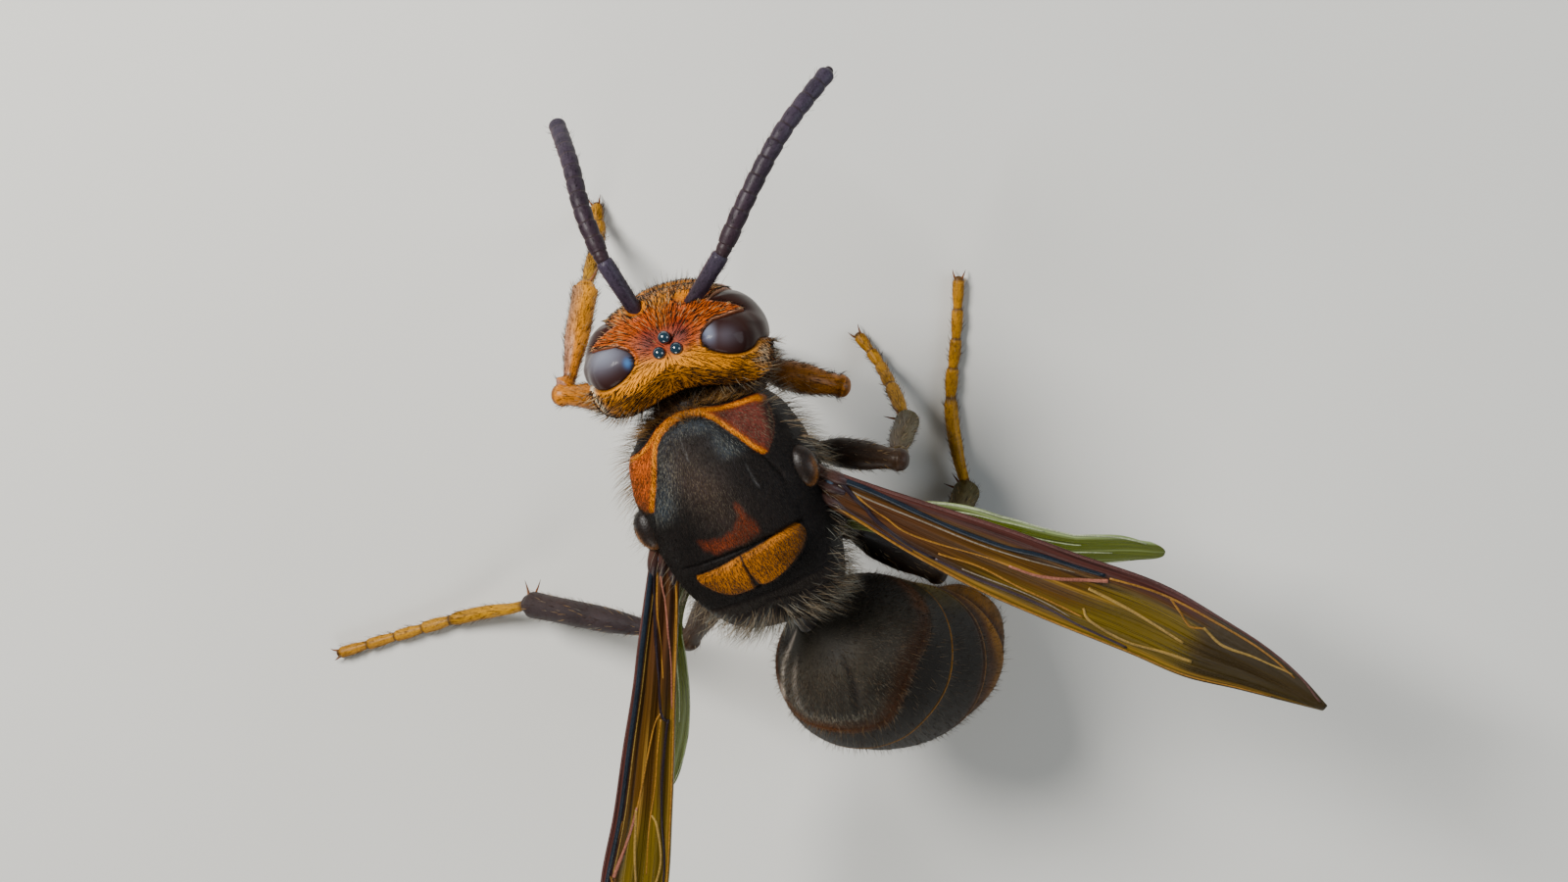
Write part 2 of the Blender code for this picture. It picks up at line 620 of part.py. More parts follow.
def stand_at_origin():
    """Shift the model so that its origin is the middle of its base."""
    pieces = list(bpy.context.scene.objects)
    corners = np.array([v.co for piece in pieces for v in piece.data.vertices])
    middle = (corners.min(axis=0) + corners.max(axis=0)) / 2
    for piece in pieces:
        piece.data.transform(Matrix.Translation((-middle[0], -middle[1], 0)))


def main():
    for old in list(bpy.data.objects):
        bpy.data.objects.remove(old)
    build_thorax()
    build_head()
    build_feelers()
    build_gaster()
    build_wings()
    build_legs()
    stand_at_origin()


main()
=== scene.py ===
# %% [markdown]
# A life-size hornet worker, as a museum model. The solid model gives every place and size, and
# this script dresses it: fine shells with their seams and markings, eyes, folded wings with
# veins, jointed legs and feelers, and a coat of single hairs. Lengths are in millimetres and
# are turned into metres where a mesh is made.
# %% Tools
import math

import bmesh
import bpy
import numpy as np
from mathutils import Matrix, Vector


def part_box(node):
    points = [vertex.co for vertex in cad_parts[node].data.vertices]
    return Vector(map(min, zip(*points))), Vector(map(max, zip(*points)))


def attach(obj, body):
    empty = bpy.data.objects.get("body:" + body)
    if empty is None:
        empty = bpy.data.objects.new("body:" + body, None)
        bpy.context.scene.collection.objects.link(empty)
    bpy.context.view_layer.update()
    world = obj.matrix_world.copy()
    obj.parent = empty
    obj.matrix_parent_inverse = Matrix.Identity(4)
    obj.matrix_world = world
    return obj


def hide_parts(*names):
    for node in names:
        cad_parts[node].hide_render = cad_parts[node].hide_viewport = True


MM = 0.001
SIDES = (("left", 1), ("right", -1))

# %% [markdown]
# The solids load first, as a fixed frame that nothing below moves. The hornet's own axes have
# x to its left, y to its rear and z up, with the thorax in the middle of x. The solid of the
# middle thorax is symmetric and ends at a known place, so its box says where those axes lie.
# %% The solid model and the hornet's own axes
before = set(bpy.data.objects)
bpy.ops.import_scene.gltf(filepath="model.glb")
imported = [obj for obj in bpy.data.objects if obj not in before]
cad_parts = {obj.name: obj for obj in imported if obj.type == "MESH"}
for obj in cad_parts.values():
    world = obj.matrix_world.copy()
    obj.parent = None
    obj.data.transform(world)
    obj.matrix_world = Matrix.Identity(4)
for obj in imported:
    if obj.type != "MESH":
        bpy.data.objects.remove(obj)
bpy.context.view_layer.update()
REAR_OF_MIDDLE_THORAX = 3.325
box_low, box_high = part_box("mesothorax")
ORIGIN = np.array([(box_low.x + box_high.x) / 2, box_high.y - REAR_OF_MIDDLE_THORAX * MM, 0.0])
print("loaded", len(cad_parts), "solids; own axes start at", ORIGIN.round(5).tolist())


def curve_value(table, places):
    """Values of a smooth curve through rows of (place, value, ...), one row for each place."""
    rows = np.array(table, float)
    stops, values = rows[:, 0], rows[:, 1:]
    places = np.atleast_1d(np.asarray(places, float))
    slopes = np.gradient(values, stops, axis=0)
    k = np.clip(np.searchsorted(stops, places) - 1, 0, len(stops) - 2)
    span = (stops[k + 1] - stops[k])[:, None]
    s = np.clip((places - stops[k])[:, None] / span, 0, 1)
    start, end = 2 * s**3 - 3 * s**2 + 1, 3 * s**2 - 2 * s**3
    rise, fall = (s**3 - 2 * s**2 + s) * span, (s**3 - s**2) * span
    return start * values[k] + end * values[k + 1] + rise * slopes[k] + fall * slopes[k + 1]


def unit(vectors):
    return vectors / np.maximum(np.linalg.norm(vectors, axis=-1, keepdims=True), 1e-12)


def ease(low, high, values):
    """0 below low and 1 above high, with a smooth step between; low may be the larger one."""
    s = np.clip((values - low) / (high - low), 0, 1)
    return s * s * (3 - 2 * s)


def dome(distance, width):
    """A soft bump: 1 at no distance, and nearly 0 beyond two widths."""
    return np.exp(-((distance / width) ** 2))


def line_distance(a, b, corners):
    """Distance in a plane from a line through the corners."""
    distance = np.full(np.shape(a), 1e9)
    for (a0, b0), (a1, b1) in zip(corners, corners[1:]):
        share = ((a - a0) * (a1 - a0) + (b - b0) * (b1 - b0)) / ((a1 - a0) ** 2 + (b1 - b0) ** 2)
        share = np.clip(share, 0, 1)
        distance = np.minimum(distance, np.hypot(a - a0 - share * (a1 - a0),
            b - b0 - share * (b1 - b0)))
    return distance


def shape_edge(a, b, corners):
    """Distance in a plane from the edge of a closed shape, below 0 inside it."""
    corners = [*corners, corners[0]]
    inside = np.zeros(np.shape(a), bool)
    for (a0, b0), (a1, b1) in zip(corners, corners[1:]):
        if b1 != b0:
            inside ^= ((b0 > b) != (b1 > b)) & (a < (a1 - a0) * (b - b0) / (b1 - b0) + a0)
    distance = line_distance(a, b, corners)
    return np.where(inside, -distance, distance)


def grid_normals(points):
    """Outward normals of a closed grid, rows along the body and columns round it."""
    along = np.gradient(points, axis=0)
    around = np.roll(points, -1, axis=1) - np.roll(points, 1, axis=1)
    normals = unit(np.cross(around, along))
    middle = points.mean(axis=1, keepdims=True)
    if ((points - middle) * normals).sum() < 0:
        normals = -normals
    return normals


def grid_faces(rows, columns):
    """Four-sided faces of a closed grid, with one flat face on each end."""
    k, j = np.meshgrid(np.arange(rows - 1), np.arange(columns), indexing="ij")
    a, b = k * columns + j, k * columns + (j + 1) % columns
    quads = np.stack([a, b, b + columns, a + columns], axis=-1).reshape(-1, 4).tolist()
    return quads + [list(range(columns)), list(range((rows - 1) * columns, rows * columns))]


def joined(grids):
    """Points and faces of several closed grids in one mesh."""
    points, faces, start = [], [], 0
    for grid in grids:
        faces += [[corner + start for corner in face] for face in grid_faces(*grid.shape[:2])]
        points.append(grid.reshape(-1, 3))
        start += len(points[-1])
    return np.concatenate(points), faces


def add_mesh(name, points, material, masks=None, replaces=(), faces=None, fix_normals=True):
    """A smooth piece from points in millimetres, with a mask for each marking.

    The points are a closed grid, unless the piece has faces of its own.
    """
    flat = np.asarray(points, float).reshape(-1, 3)
    mesh = bpy.data.meshes.new(name)
    mesh.from_pydata((flat * MM + ORIGIN).tolist(), [], faces or grid_faces(*points.shape[:2]))
    for mask, values in (masks or {}).items():
        layer = mesh.attributes.new(mask, "FLOAT", "POINT")
        layer.data.foreach_set("value", np.asarray(values, np.float32).ravel())
    if fix_normals:
        work = bmesh.new()
        work.from_mesh(mesh)
        bmesh.ops.recalc_face_normals(work, faces=work.faces)
        work.to_mesh(mesh)
        work.free()
    mesh.materials.append(material)
    mesh.shade_smooth()
    piece = bpy.data.objects.new(name, mesh)
    bpy.context.scene.collection.objects.link(piece)
    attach(piece, "root")
    if replaces:
        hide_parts(*replaces)
    return piece


# %% [markdown]
# A leg or a feeler follows its solid. Its middle line could be typed again, but it is safer to
# read it from the solid: even slices across the long solid give a centre each.
# %% Middle lines of the limb solids
def centre_line(node, count, start):
    """Centres of even slices across a long solid, from the end nearer to start."""
    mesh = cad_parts[node].data
    points = np.empty(len(mesh.vertices) * 3)
    mesh.vertices.foreach_get("co", points)
    points = (points.reshape(-1, 3) - ORIGIN) / MM
    edges = np.empty(len(mesh.edges) * 2, int)
    mesh.edges.foreach_get("vertices", edges)
    edges = edges.reshape(-1, 2)
    axis = np.linalg.eigh(np.cov((points - points.mean(0)).T))[1][:, -1]
    places = points @ axis
    if abs(np.dot(start, axis) - places.min()) > abs(np.dot(start, axis) - places.max()):
        places = -places
    first, last = places.min(), places.max()
    margin = 0.10 * (last - first)
    centres = []
    for place in np.linspace(first + margin, last - margin, count):
        low, high = places[edges[:, 0]], places[edges[:, 1]]
        cut = (low - place) * (high - place) < 0
        share = ((place - low[cut]) / (high[cut] - low[cut]))[:, None]
        crossing = points[edges[cut, 0]] * (1 - share) + points[edges[cut, 1]] * share
        centres.append((crossing.min(0) + crossing.max(0)) / 2)
    return np.array(centres)


def resample(points, count):
    """Even points on a smooth curve through the given ones."""
    distance = np.r_[0, np.cumsum(np.linalg.norm(np.diff(points, axis=0), axis=1))]
    table = np.c_[distance, points]
    return curve_value(table, np.linspace(0, distance[-1], count))


def tube_grid(centres, radii, columns, side=(1, 0, 0.2), flat=1.0):
    """Rings round a middle line, turned along it with no twist."""
    ahead = unit(np.gradient(centres, axis=0))
    side = np.array(side, float)
    rings = []
    angles = np.linspace(0, 2 * math.pi, columns, endpoint=False)
    for centre, way, radius in zip(centres, ahead, radii):
        side = unit(side - way * side.dot(way))
        up = np.cross(side, way)
        rings.append(centre + radius * (np.outer(np.cos(angles), side)
            + flat * np.outer(np.sin(angles), up)))
    return np.array(rings)


# %% [markdown]
# Every marking is a mask on the points, from 0 to 1, worked out from the same millimetres as
# the shape. The materials mix their colours by these masks. Fine texture is added in the
# shader. Two effects are shared by all the shells, so each is a node group: the grain of the
# shell, and the short pile that lies on it.
# %% Shader helpers
def feed(tree, socket, value):
    """Link a socket to another one, or give it a plain value."""
    if isinstance(value, bpy.types.NodeSocket):
        tree.links.new(value, socket)
    else:
        socket.default_value = value


def add_node(tree, kind, settings=None, **values):
    """A shader node with its settings and inputs."""
    made = tree.nodes.new(kind)
    for key, value in (settings or {}).items():
        setattr(made, key, value)
    for key, value in values.items():
        feed(tree, made.inputs[key.replace("_", " ")], value)
    return made


def mixed(tree, factor, first, second):
    """Colour between two others; each may be a colour or a socket."""
    made = add_node(tree, "ShaderNodeMix", {"data_type": "RGBA"})
    feed(tree, made.inputs[0], factor)
    for socket, value in ((made.inputs[6], first), (made.inputs[7], second)):
        feed(tree, socket, (*value, 1) if isinstance(value, tuple) else value)
    return made.outputs[2]


def reckoned(tree, operation, first, second, clamp=False):
    """A sum, a product or the like of two numbers or sockets."""
    made = add_node(tree, "ShaderNodeMath", {"operation": operation, "use_clamp": clamp})
    feed(tree, made.inputs[0], first)
    feed(tree, made.inputs[1], second)
    return made.outputs[0]


def toned(tree, colour, tone, low, high, start=0.3, end=0.7):
    """The same colour made darker where the tone is small and lighter where it is large."""
    swing = add_node(tree, "ShaderNodeMapRange", Value=tone, From_Min=start, From_Max=end,
                     To_Min=low, To_Max=high)
    made = add_node(tree, "ShaderNodeVectorMath", {"operation": "SCALE"}, Scale=swing.outputs[0])
    feed(tree, made.inputs[0], colour)
    return made.outputs[0]


def stretched(tree, place, stretch):
    """A place multiplied along each axis, so that a texture on it is drawn out."""
    made = add_node(tree, "ShaderNodeVectorMath", {"operation": "MULTIPLY"})
    feed(tree, made.inputs[0], place)
    feed(tree, made.inputs[1], stretch)
    return made.outputs[0]


def own_place(tree):
    return add_node(tree, "ShaderNodeTexCoord").outputs["Object"]


def noise(tree, scale, detail, place=None):
    """Soft clouds from 0 to 1, on the piece's own coordinates unless a place is given."""
    made = add_node(tree, "ShaderNodeTexNoise", Vector=place or own_place(tree), Scale=scale,
                    Detail=detail)
    return made.outputs["Fac"]


def pits(tree, scale):
    """Distance from the middle of small cells, as for pinpricks or tiny lenses."""
    made = add_node(tree, "ShaderNodeTexVoronoi", Vector=own_place(tree), Scale=scale)
    return made.outputs["Distance"]


def mask_of(tree, name):
    return add_node(tree, "ShaderNodeAttribute", {"attribute_name": name}).outputs["Fac"]


def layered(tree, colour, layers):
    """A colour with one more laid over it for each (mask name, colour)."""
    for mask, shade in layers:
        colour = mixed(tree, mask_of(tree, mask), colour, shade)
    return colour


def new_group(name, inputs, outputs):
    """Empty node group with float inputs (name, default) and outputs."""
    group = bpy.data.node_groups.new(name, "ShaderNodeTree")
    for title, default in inputs:
        socket = group.interface.new_socket(title, in_out="INPUT", socket_type="NodeSocketFloat")
        socket.default_value = default
    for title in outputs:
        group.interface.new_socket(title, in_out="OUTPUT", socket_type="NodeSocketFloat")
    given, out = group.nodes.new("NodeGroupInput"), group.nodes.new("NodeGroupOutput")
    return group, given.outputs, out.inputs


def new_material(name):
    material = bpy.data.materials.new(name)
    material.use_nodes = True
    tree = material.node_tree
    return material, tree, tree.nodes["Principled BSDF"]


def use_group(tree, group, **values):
    return add_node(tree, "ShaderNodeGroup", {"node_tree": group}, **values).outputs


def dress(tree, shader, colour, height=None, bump=0.3, depth=0.02, **values):
    """Give a shader its colour, its relief, and the values that are the same all over."""
    feed(tree, shader.inputs["Base Color"], colour)
    if height is not None:
        relief = add_node(tree, "ShaderNodeBump", Strength=bump, Distance=depth * MM, Height=height)
        feed(tree, shader.inputs["Normal"], relief.outputs[0])
    for key, value in values.items():
        feed(tree, shader.inputs[key.replace("_", " ")], value)


# %% [markdown]
# An insect's shell isn't one flat colour. It has soft clouds of lighter and darker pigment and
# pits as fine as a pinprick. One node group gives both, as a tone and a height, so that the
# head, thorax, gaster, legs and veins all share the same grain at their own size.
# %% Node group: grain of the shell
def build_grain():
    group, given, out = new_group(
        "Shell grain", [("Size", 0.05), ("Pits", 0.5), ("Mottle", 1.0)], ["Tone", "Height"])
    scale = reckoned(group, "DIVIDE", 1 / MM, given["Size"])
    fine, broad = noise(group, scale, 3.0), noise(group, 0.9 / MM, 4.0)
    swing = reckoned(group, "MULTIPLY", reckoned(group, "SUBTRACT", broad, 0.5), given["Mottle"])
    feed(group, out["Tone"], reckoned(group, "ADD", swing, fine, clamp=True))
    shallow = reckoned(group, "MINIMUM", pits(group, scale), 0.5)
    deep = reckoned(group, "MULTIPLY", shallow, given["Pits"])
    feed(group, out["Height"], reckoned(group, "ADD", fine, deep))
    return group


grain = build_grain()
print("node group", grain.name, "has", len(grain.nodes), "nodes")


# %% [markdown]
# Between the hairs that are modelled lies a pile too short to see singly. It shows as small
# dark dashes that follow the way the hairs grow. Noise stretched along that way gives a mask
# for the dashes and a little height, which costs no geometry.
# %% Node group: short pile
def build_pile():
    group, given, out = new_group("Short pile", [("Length", 0.12), ("Width", 0.02)], ["Value"])
    across = reckoned(group, "DIVIDE", 1 / MM, given["Width"])
    along = reckoned(group, "DIVIDE", 1 / MM, given["Length"])
    stretch = add_node(group, "ShaderNodeCombineXYZ", X=across, Y=along, Z=across).outputs[0]
    strokes = noise(group, 1.0, 2.0, stretched(group, own_place(group), stretch))
    feed(group, out["Value"], strokes)
    return group


pile = build_pile()
print("node group", pile.name, "has", len(pile.nodes), "nodes")


# %% [markdown]
# Shell material: a base colour, then one colour laid over it for each mask. The grain shifts
# every colour a little lighter and darker, and gives the bump. Live chitin has a thin waxy
# gloss under its hairs, so the roughness stays at a middle value and the shine is weak.
# %% Shell materials
PILE_COLOUR = (0.030, 0.021, 0.016)


def shell_material(name, base, layers, rough, grain_size, bump, pile_share=0.0, swing=(0.55, 1.3)):
    """Principled shell; layers are (mask name, colour) and lie over the base in that order."""
    material, tree, shader = new_material(name)
    surface = use_group(tree, grain, Size=grain_size, Mottle=1.0)
    colour = toned(tree, layered(tree, base, layers), surface["Tone"], *swing)
    height = surface["Height"]
    if pile_share:
        strokes = use_group(tree, pile, Length=0.2, Width=0.03)["Value"]
        shown = add_node(tree, "ShaderNodeMapRange", Value=strokes, From_Min=0.5, From_Max=0.68,
                         To_Max=pile_share)
        colour = mixed(tree, shown.outputs[0], colour, PILE_COLOUR)
        height = reckoned(tree, "ADD", height, strokes)
    spread = add_node(tree, "ShaderNodeMapRange", Value=surface["Tone"], To_Min=rough - 0.08,
                      To_Max=rough + 0.12)
    dress(tree, shader, colour, height, bump, Roughness=spread.outputs[0], Specular_IOR_Level=0.11)
    return material


GOLD = (0.62, 0.215, 0.001)
AMBER = (0.30, 0.095, 0.001)
ORANGE = (0.44, 0.080, 0.002)
FLUSH = (0.21, 0.014, 0.002)
RUST = (0.160, 0.024, 0.004)
WINE = (0.075, 0.018, 0.015)
CREAM = (0.80, 0.66, 0.44)
SOOT = (0.005, 0.004, 0.004)
FELT = (0.022, 0.014, 0.011)
# Colour of the painted blue-grey sheen on the back shield.
BLUE_SHEEN_PAINTED = (0.020, 0.028, 0.036)

head_shell = shell_material(
    "head_shell", ORANGE,
    [("golden", GOLD), ("flush", FLUSH), ("dusk", WINE), ("pale", CREAM), ("dark", SOOT)],
    rough=0.45, grain_size=0.045, bump=0.35)
thorax_shell = shell_material(
    "thorax_shell", SOOT,
    [("blue_sheen_painted", BLUE_SHEEN_PAINTED), ("felt", FELT), ("rust", RUST), ("wine", WINE), ("orange", ORANGE),
     ("golden", GOLD), ("amber", AMBER), ("line", (0.09, 0.09, 0.09)), ("dark", SOOT)],
    rough=0.50, grain_size=0.04, bump=0.8, pile_share=0.35, swing=(0.35, 1.6))
gaster_shell = shell_material(
    "gaster_shell", (0.009, 0.007, 0.006),
    [("felt", (0.026, 0.022, 0.016)), ("warm", (0.090, 0.027, 0.003)),
     ("olive", (0.15, 0.105, 0.005)), ("golden", (0.30, 0.125, 0.002)),
     # colour of the painted rim highlight on the first plate
     ("painted_rim_highlight", (0.40, 0.34, 0.29)), ("dark", SOOT)],
    rough=0.50, grain_size=0.05, bump=0.3, pile_share=0.12)
print("shell materials:", head_shell.name, thorax_shell.name, gaster_shell.name)

# %% [markdown]
# The head is a rounded box, hollow at the back where the neck enters. Its rings are level in
# the head's own axes: x to its left, y to its rear, z to the crown. The pose turns the face a
# little to its right and tucks the jaws back.
# %% The head's shape
HEAD_CENTRE = (-0.34, -4.02, 11.65)
HEAD_TURNS = ((-7.0, "Z"), (11.0, "X"), (-4.0, "Y"))
HEAD_WIDEST_Y = 0.45
HEAD_HOLLOW = 0.80
# z, half width, reach in front of the widest line, reach behind it
HEAD = [
    (-2.65, 1.00, 1.70, 0.20),
    (-2.45, 1.35, 1.98, 0.45),
    (-2.00, 1.90, 2.20, 0.85),
    (-1.20, 2.42, 2.33, 1.30),
    (-0.20, 2.76, 2.33, 1.58),
    (0.70, 2.85, 2.25, 1.64),
    (1.50, 2.72, 2.00, 1.50),
    (2.10, 2.35, 1.55, 1.20),
    (2.48, 1.75, 1.05, 0.82),
    (2.66, 0.95, 0.50, 0.45),
]
head_pose = Matrix.Translation(HEAD_CENTRE)
for degrees, axis in HEAD_TURNS:
    head_pose = head_pose @ Matrix.Rotation(math.radians(degrees), 4, axis)
head_pose = np.array(head_pose)


def on_head(points):
    """Head axes to the hornet's axes."""
    return points @ head_pose[:3, :3].T + head_pose[:3, 3]


def head_rings(rows, columns, cap=14):
    """Level rings of the bare skull, closed by shrinking rings at the chin and the crown."""
    low, high = HEAD[0][0], HEAD[-1][0]
    heights = low + (high - low) * (0.5 - 0.5 * np.cos(np.linspace(0, math.pi, rows)))
    sizes = curve_value(HEAD, heights)
    shrink = np.linspace(0.02, 0.96, cap)
    crown = [(high + 0.09 * (1 - s * s), *(sizes[-1] * s)) for s in shrink[::-1]]
    chin = [(low - 0.10 * (1 - s * s), *(sizes[0] * s)) for s in shrink]
    table = np.array(chin + [(z, *size) for z, size in zip(heights, sizes)] + crown)
    angles = np.linspace(0, 2 * math.pi, columns, endpoint=False)
    c, s = np.cos(angles), np.sin(angles)
    power = 2 / 2.2
    z, half_width, front, behind = (table[:, [k]] for k in range(4))
    x = half_width * np.sign(c) * np.abs(c) ** power
    share = np.maximum(0, 1 - np.abs(x / half_width) ** 3) ** (1 / 3)
    narrow = np.minimum(half_width / half_width.max(), 1)
    hollow = HEAD_HOLLOW * narrow * np.exp(-((x / (0.7 * half_width)) ** 2))
    rear = share * (behind - hollow)
    ahead = -front * np.abs(s) ** power
    y = HEAD_WIDEST_Y + np.where(s >= 0, rear, ahead)
    return np.stack([x, y, np.broadcast_to(z, x.shape)], axis=-1)


skull = head_rings(250, 380)
skull_normals = grid_normals(skull)
print("skull grid", skull.shape[:2], "is", round(float(np.ptp(skull[..., 0])), 2), "mm wide")

# %% [markdown]
# A hornet's eye is a C: a tongue of the face reaches into it beside the feeler. Cutting that
# outline from a ball would leave ragged edges. Here the outline is a signed distance on a map
# of the side of the head, so that both the socket's rim and the eye's dome follow it exactly.
# %% The outline of the eyes
EYE_AXIS_TILT = math.radians(9)       # the map's middle is a little above the side
EYE_MAP_CENTRE = (0.0, 0.0, 0.2)
DEGREE = 2.75 * math.pi / 180          # millimetres of surface for a degree of the map
# all in degrees on the map: (rear, up)
UPPER_LOBE, UPPER_HALF = (1.3, 37.0), (13.2, 20.0)
LOWER_LOBE, LOWER_HALF = (-12.5, -6.0), (21.5, 49.0)
TONGUE_REAR = -11.5                    # rear edge of the tongue of the face
TONGUE_SLOPE = ((-33.0, 40.5), (-13.0, 17.5))  # its lower edge, from the face to its tip
TONGUE_ROUND = 3.0


def eye_map(points, sign):
    """Rear and up, in degrees, on a map centred on one side of the head."""
    rays = unit(points - np.array(EYE_MAP_CENTRE))
    x, y, z = sign * rays[..., 0], rays[..., 1], rays[..., 2]
    out = x * math.cos(EYE_AXIS_TILT) + z * math.sin(EYE_AXIS_TILT)
    up = z * math.cos(EYE_AXIS_TILT) - x * math.sin(EYE_AXIS_TILT)
    turn = np.degrees(np.arccos(np.clip(out, -1, 1))) / np.maximum(np.hypot(y, up), 1e-9)
    return y * turn, up * turn


def oval_distance(rear, up, middle, half, power=2.0):
    """Degrees from an oval's edge, below 0 inside it."""
    a, b = np.abs(rear - middle[0]) / half[0], np.abs(up - middle[1]) / half[1]
    reach = np.maximum(a**power + b**power, 1e-9) ** (1 / power)
    steep = np.maximum(np.hypot(a / half[0], b / half[1]) / np.maximum(np.hypot(a, b), 1e-6), 1e-6)
    return (reach - 1) / steep


def eye_distance(points, sign):
    """Millimetres from the eye's outline, below 0 inside it."""
    rear, up = eye_map(points, sign)
    upper = oval_distance(rear, up, UPPER_LOBE, UPPER_HALF)
    lower = oval_distance(rear, up, LOWER_LOBE, LOWER_HALF, 2.8)
    near = np.clip(0.5 + 0.5 * (lower - upper) / 5, 0, 1)
    lobes = lower * (1 - near) + upper * near - 5 * near * (1 - near)
    (r0, u0), (r1, u1) = TONGUE_SLOPE
    length = math.hypot(r1 - r0, u1 - u0)
    below = ((rear - r0) * (u1 - u0) - (up - u0) * (r1 - r0)) / length
    inner, outer = rear - TONGUE_REAR + TONGUE_ROUND, below + TONGUE_ROUND
    tongue = (np.minimum(np.maximum(inner, outer), 0)
        + np.hypot(np.maximum(inner, 0), np.maximum(outer, 0)) - TONGUE_ROUND)
    return np.maximum(lobes, -tongue) * DEGREE


eye_edge = np.minimum(eye_distance(skull, 1), eye_distance(skull, -1))
print("eyes cover", round(100 * float((eye_edge < 0).mean())), "% of the skull's points")

# %% [markdown]
# The face gets its relief by moving points along their normals: a raised shield above the jaws,
# a socket with a rim for each feeler, a fine groove up the forehead, a shallow basin round the
# three simple eyes, and the two large sockets, sunk so that the eyes' domes rise out of them.
# %% The head's shell
FEELER_SOCKETS = [(0.68, -1.36, 1.70), (-0.80, -1.34, 1.72)]
OCELLI = [(0.0, -0.36, 2.62), (0.27, 0.06, 2.66), (-0.27, 0.06, 2.66)]
OCELLUS_RADIUS = 0.20
SHIELD_MIDDLE, SHIELD_HALF = (0.0, -1.15), (1.22, 1.12)


def head_relief(points):
    x, y, z = np.moveaxis(points, -1, 0)
    lift = -0.05 * dome(np.hypot(x, y + 0.1), 0.5)
    lift -= 0.02 * dome(x, 0.03) * ease(0.9, 1.2, z) * ease(-0.55, -0.75, y)
    front = ease(0.2, -0.6, y)
    ring = np.hypot((x - SHIELD_MIDDLE[0]) / SHIELD_HALF[0],
        (z - SHIELD_MIDDLE[1]) / SHIELD_HALF[1])
    lift += front * (0.13 * ease(1.05, 0.75, ring) - 0.05 * dome(ring - 1.07, 0.05))
    for place in FEELER_SOCKETS:
        away = np.linalg.norm(points - np.array(place), axis=-1)
        lift += 0.07 * dome(away - 0.40, 0.09) - 0.10 * dome(away, 0.24)
    lift += 0.03 * dome(eye_edge - 0.07, 0.06)
    lift -= 0.16 * ease(0.04, -0.10, eye_edge)
    return lift


x, y, z = np.moveaxis(skull, -1, 0)
head_points = skull + skull_normals * head_relief(skull)[..., None]
from_ocelli = np.hypot(x, y + 0.15)
behind = ease(-0.15, 0.35, y) * ease(0.2, 1.0, z)
face = ease(-1.0, -1.5, y) * ease(2.3, 0.9, np.abs(x)) * ease(2.1, 1.5, z)
# Painted highlight along the outer edge of each temple, stronger on the left side.
temple_highlight = (dome(z - 1.64 + 0.6 * ease(1.1, 1.6, y), 0.20) * ease(0.36, 0.46, y)
    * ease(1.6, 1.3, y) * (x > 2))
temple_highlight += 0.5 * dome(z - 1.45, 0.35) * ease(0.5, 0.75, y) * ease(1.35, 1.05, y) * (x < -2)
head_masks = {
    "golden": np.clip(behind + 0.75 * face + 0.4 * dome(x, 0.25) * ease(-0.5, -0.9, y), 0, 1),
    "flush": np.clip(0.75 * dome(from_ocelli, 0.95) * ease(0.45, 0.0, y)
        + 0.45 * dome(np.abs(x) - 0.55, 0.3) * dome(y + 0.6, 0.4), 0, 1),
    "dusk": 0.7 * dome(np.hypot((np.abs(x) - 0.52) / 1.3, y + 0.30), 0.19) * ease(1.8, 2.2, z),
    # pale: painted highlights, a thin cream line round the front of the eyes and the temple
    # highlight.
    "pale": np.maximum(0.30 * dome(eye_edge - 0.045, 0.030) * ease(0.1, -0.5, y), temple_highlight),
    "dark": np.maximum(0.85 * ease(1.25, 1.75, y) * ease(2.1, 1.7, np.abs(x)) * ease(2.2, 1.9, z),
                       0.8 * dome(eye_edge - 0.005, 0.035)),
}
head_skin = add_mesh("head_skin", on_head(head_points), head_shell, head_masks, ["head"])
print("head shell:", len(head_skin.data.polygons), "faces")

# %% [markdown]
# The eyes: thousands of tiny lenses under one smooth, dark, glossy dome. Lenses this small only
# show as a fine grain, so they are a bump of small cells, and the dome is the geometry. Each
# eye is the part of the skull's grid inside the outline, lifted into a dome and closed behind.
# %% Eyes
def build_eye_lens():
    material, tree, shader = new_material("eye_lens")
    brown = mixed(tree, noise(tree, 0.7 / MM, 2.0), (0.008, 0.0028, 0.002), (0.040, 0.013, 0.010))
    # Two painted highlights lie on the brown: a pale grey-violet patch and a small blue glint.
    colour = layered(tree, brown, [("painted_highlight", (0.155, 0.165, 0.210)), ("blue", (0.05, 0.14, 0.32))])
    dress(tree, shader, colour, pits(tree, 1 / (0.035 * MM)), 0.12, 0.01, Roughness=0.30,
          Specular_IOR_Level=0.05, Coat_Weight=0.10, Coat_Roughness=0.06, Coat_IOR=1.35)
    return material


EYE_DOME = 0.20
EYE_MARGIN = 0.07                       # how far the dome's rim reaches beyond the outline
EYE_BACK = 0.35                         # depth of its closed back below the skull
eye_lens = build_eye_lens()


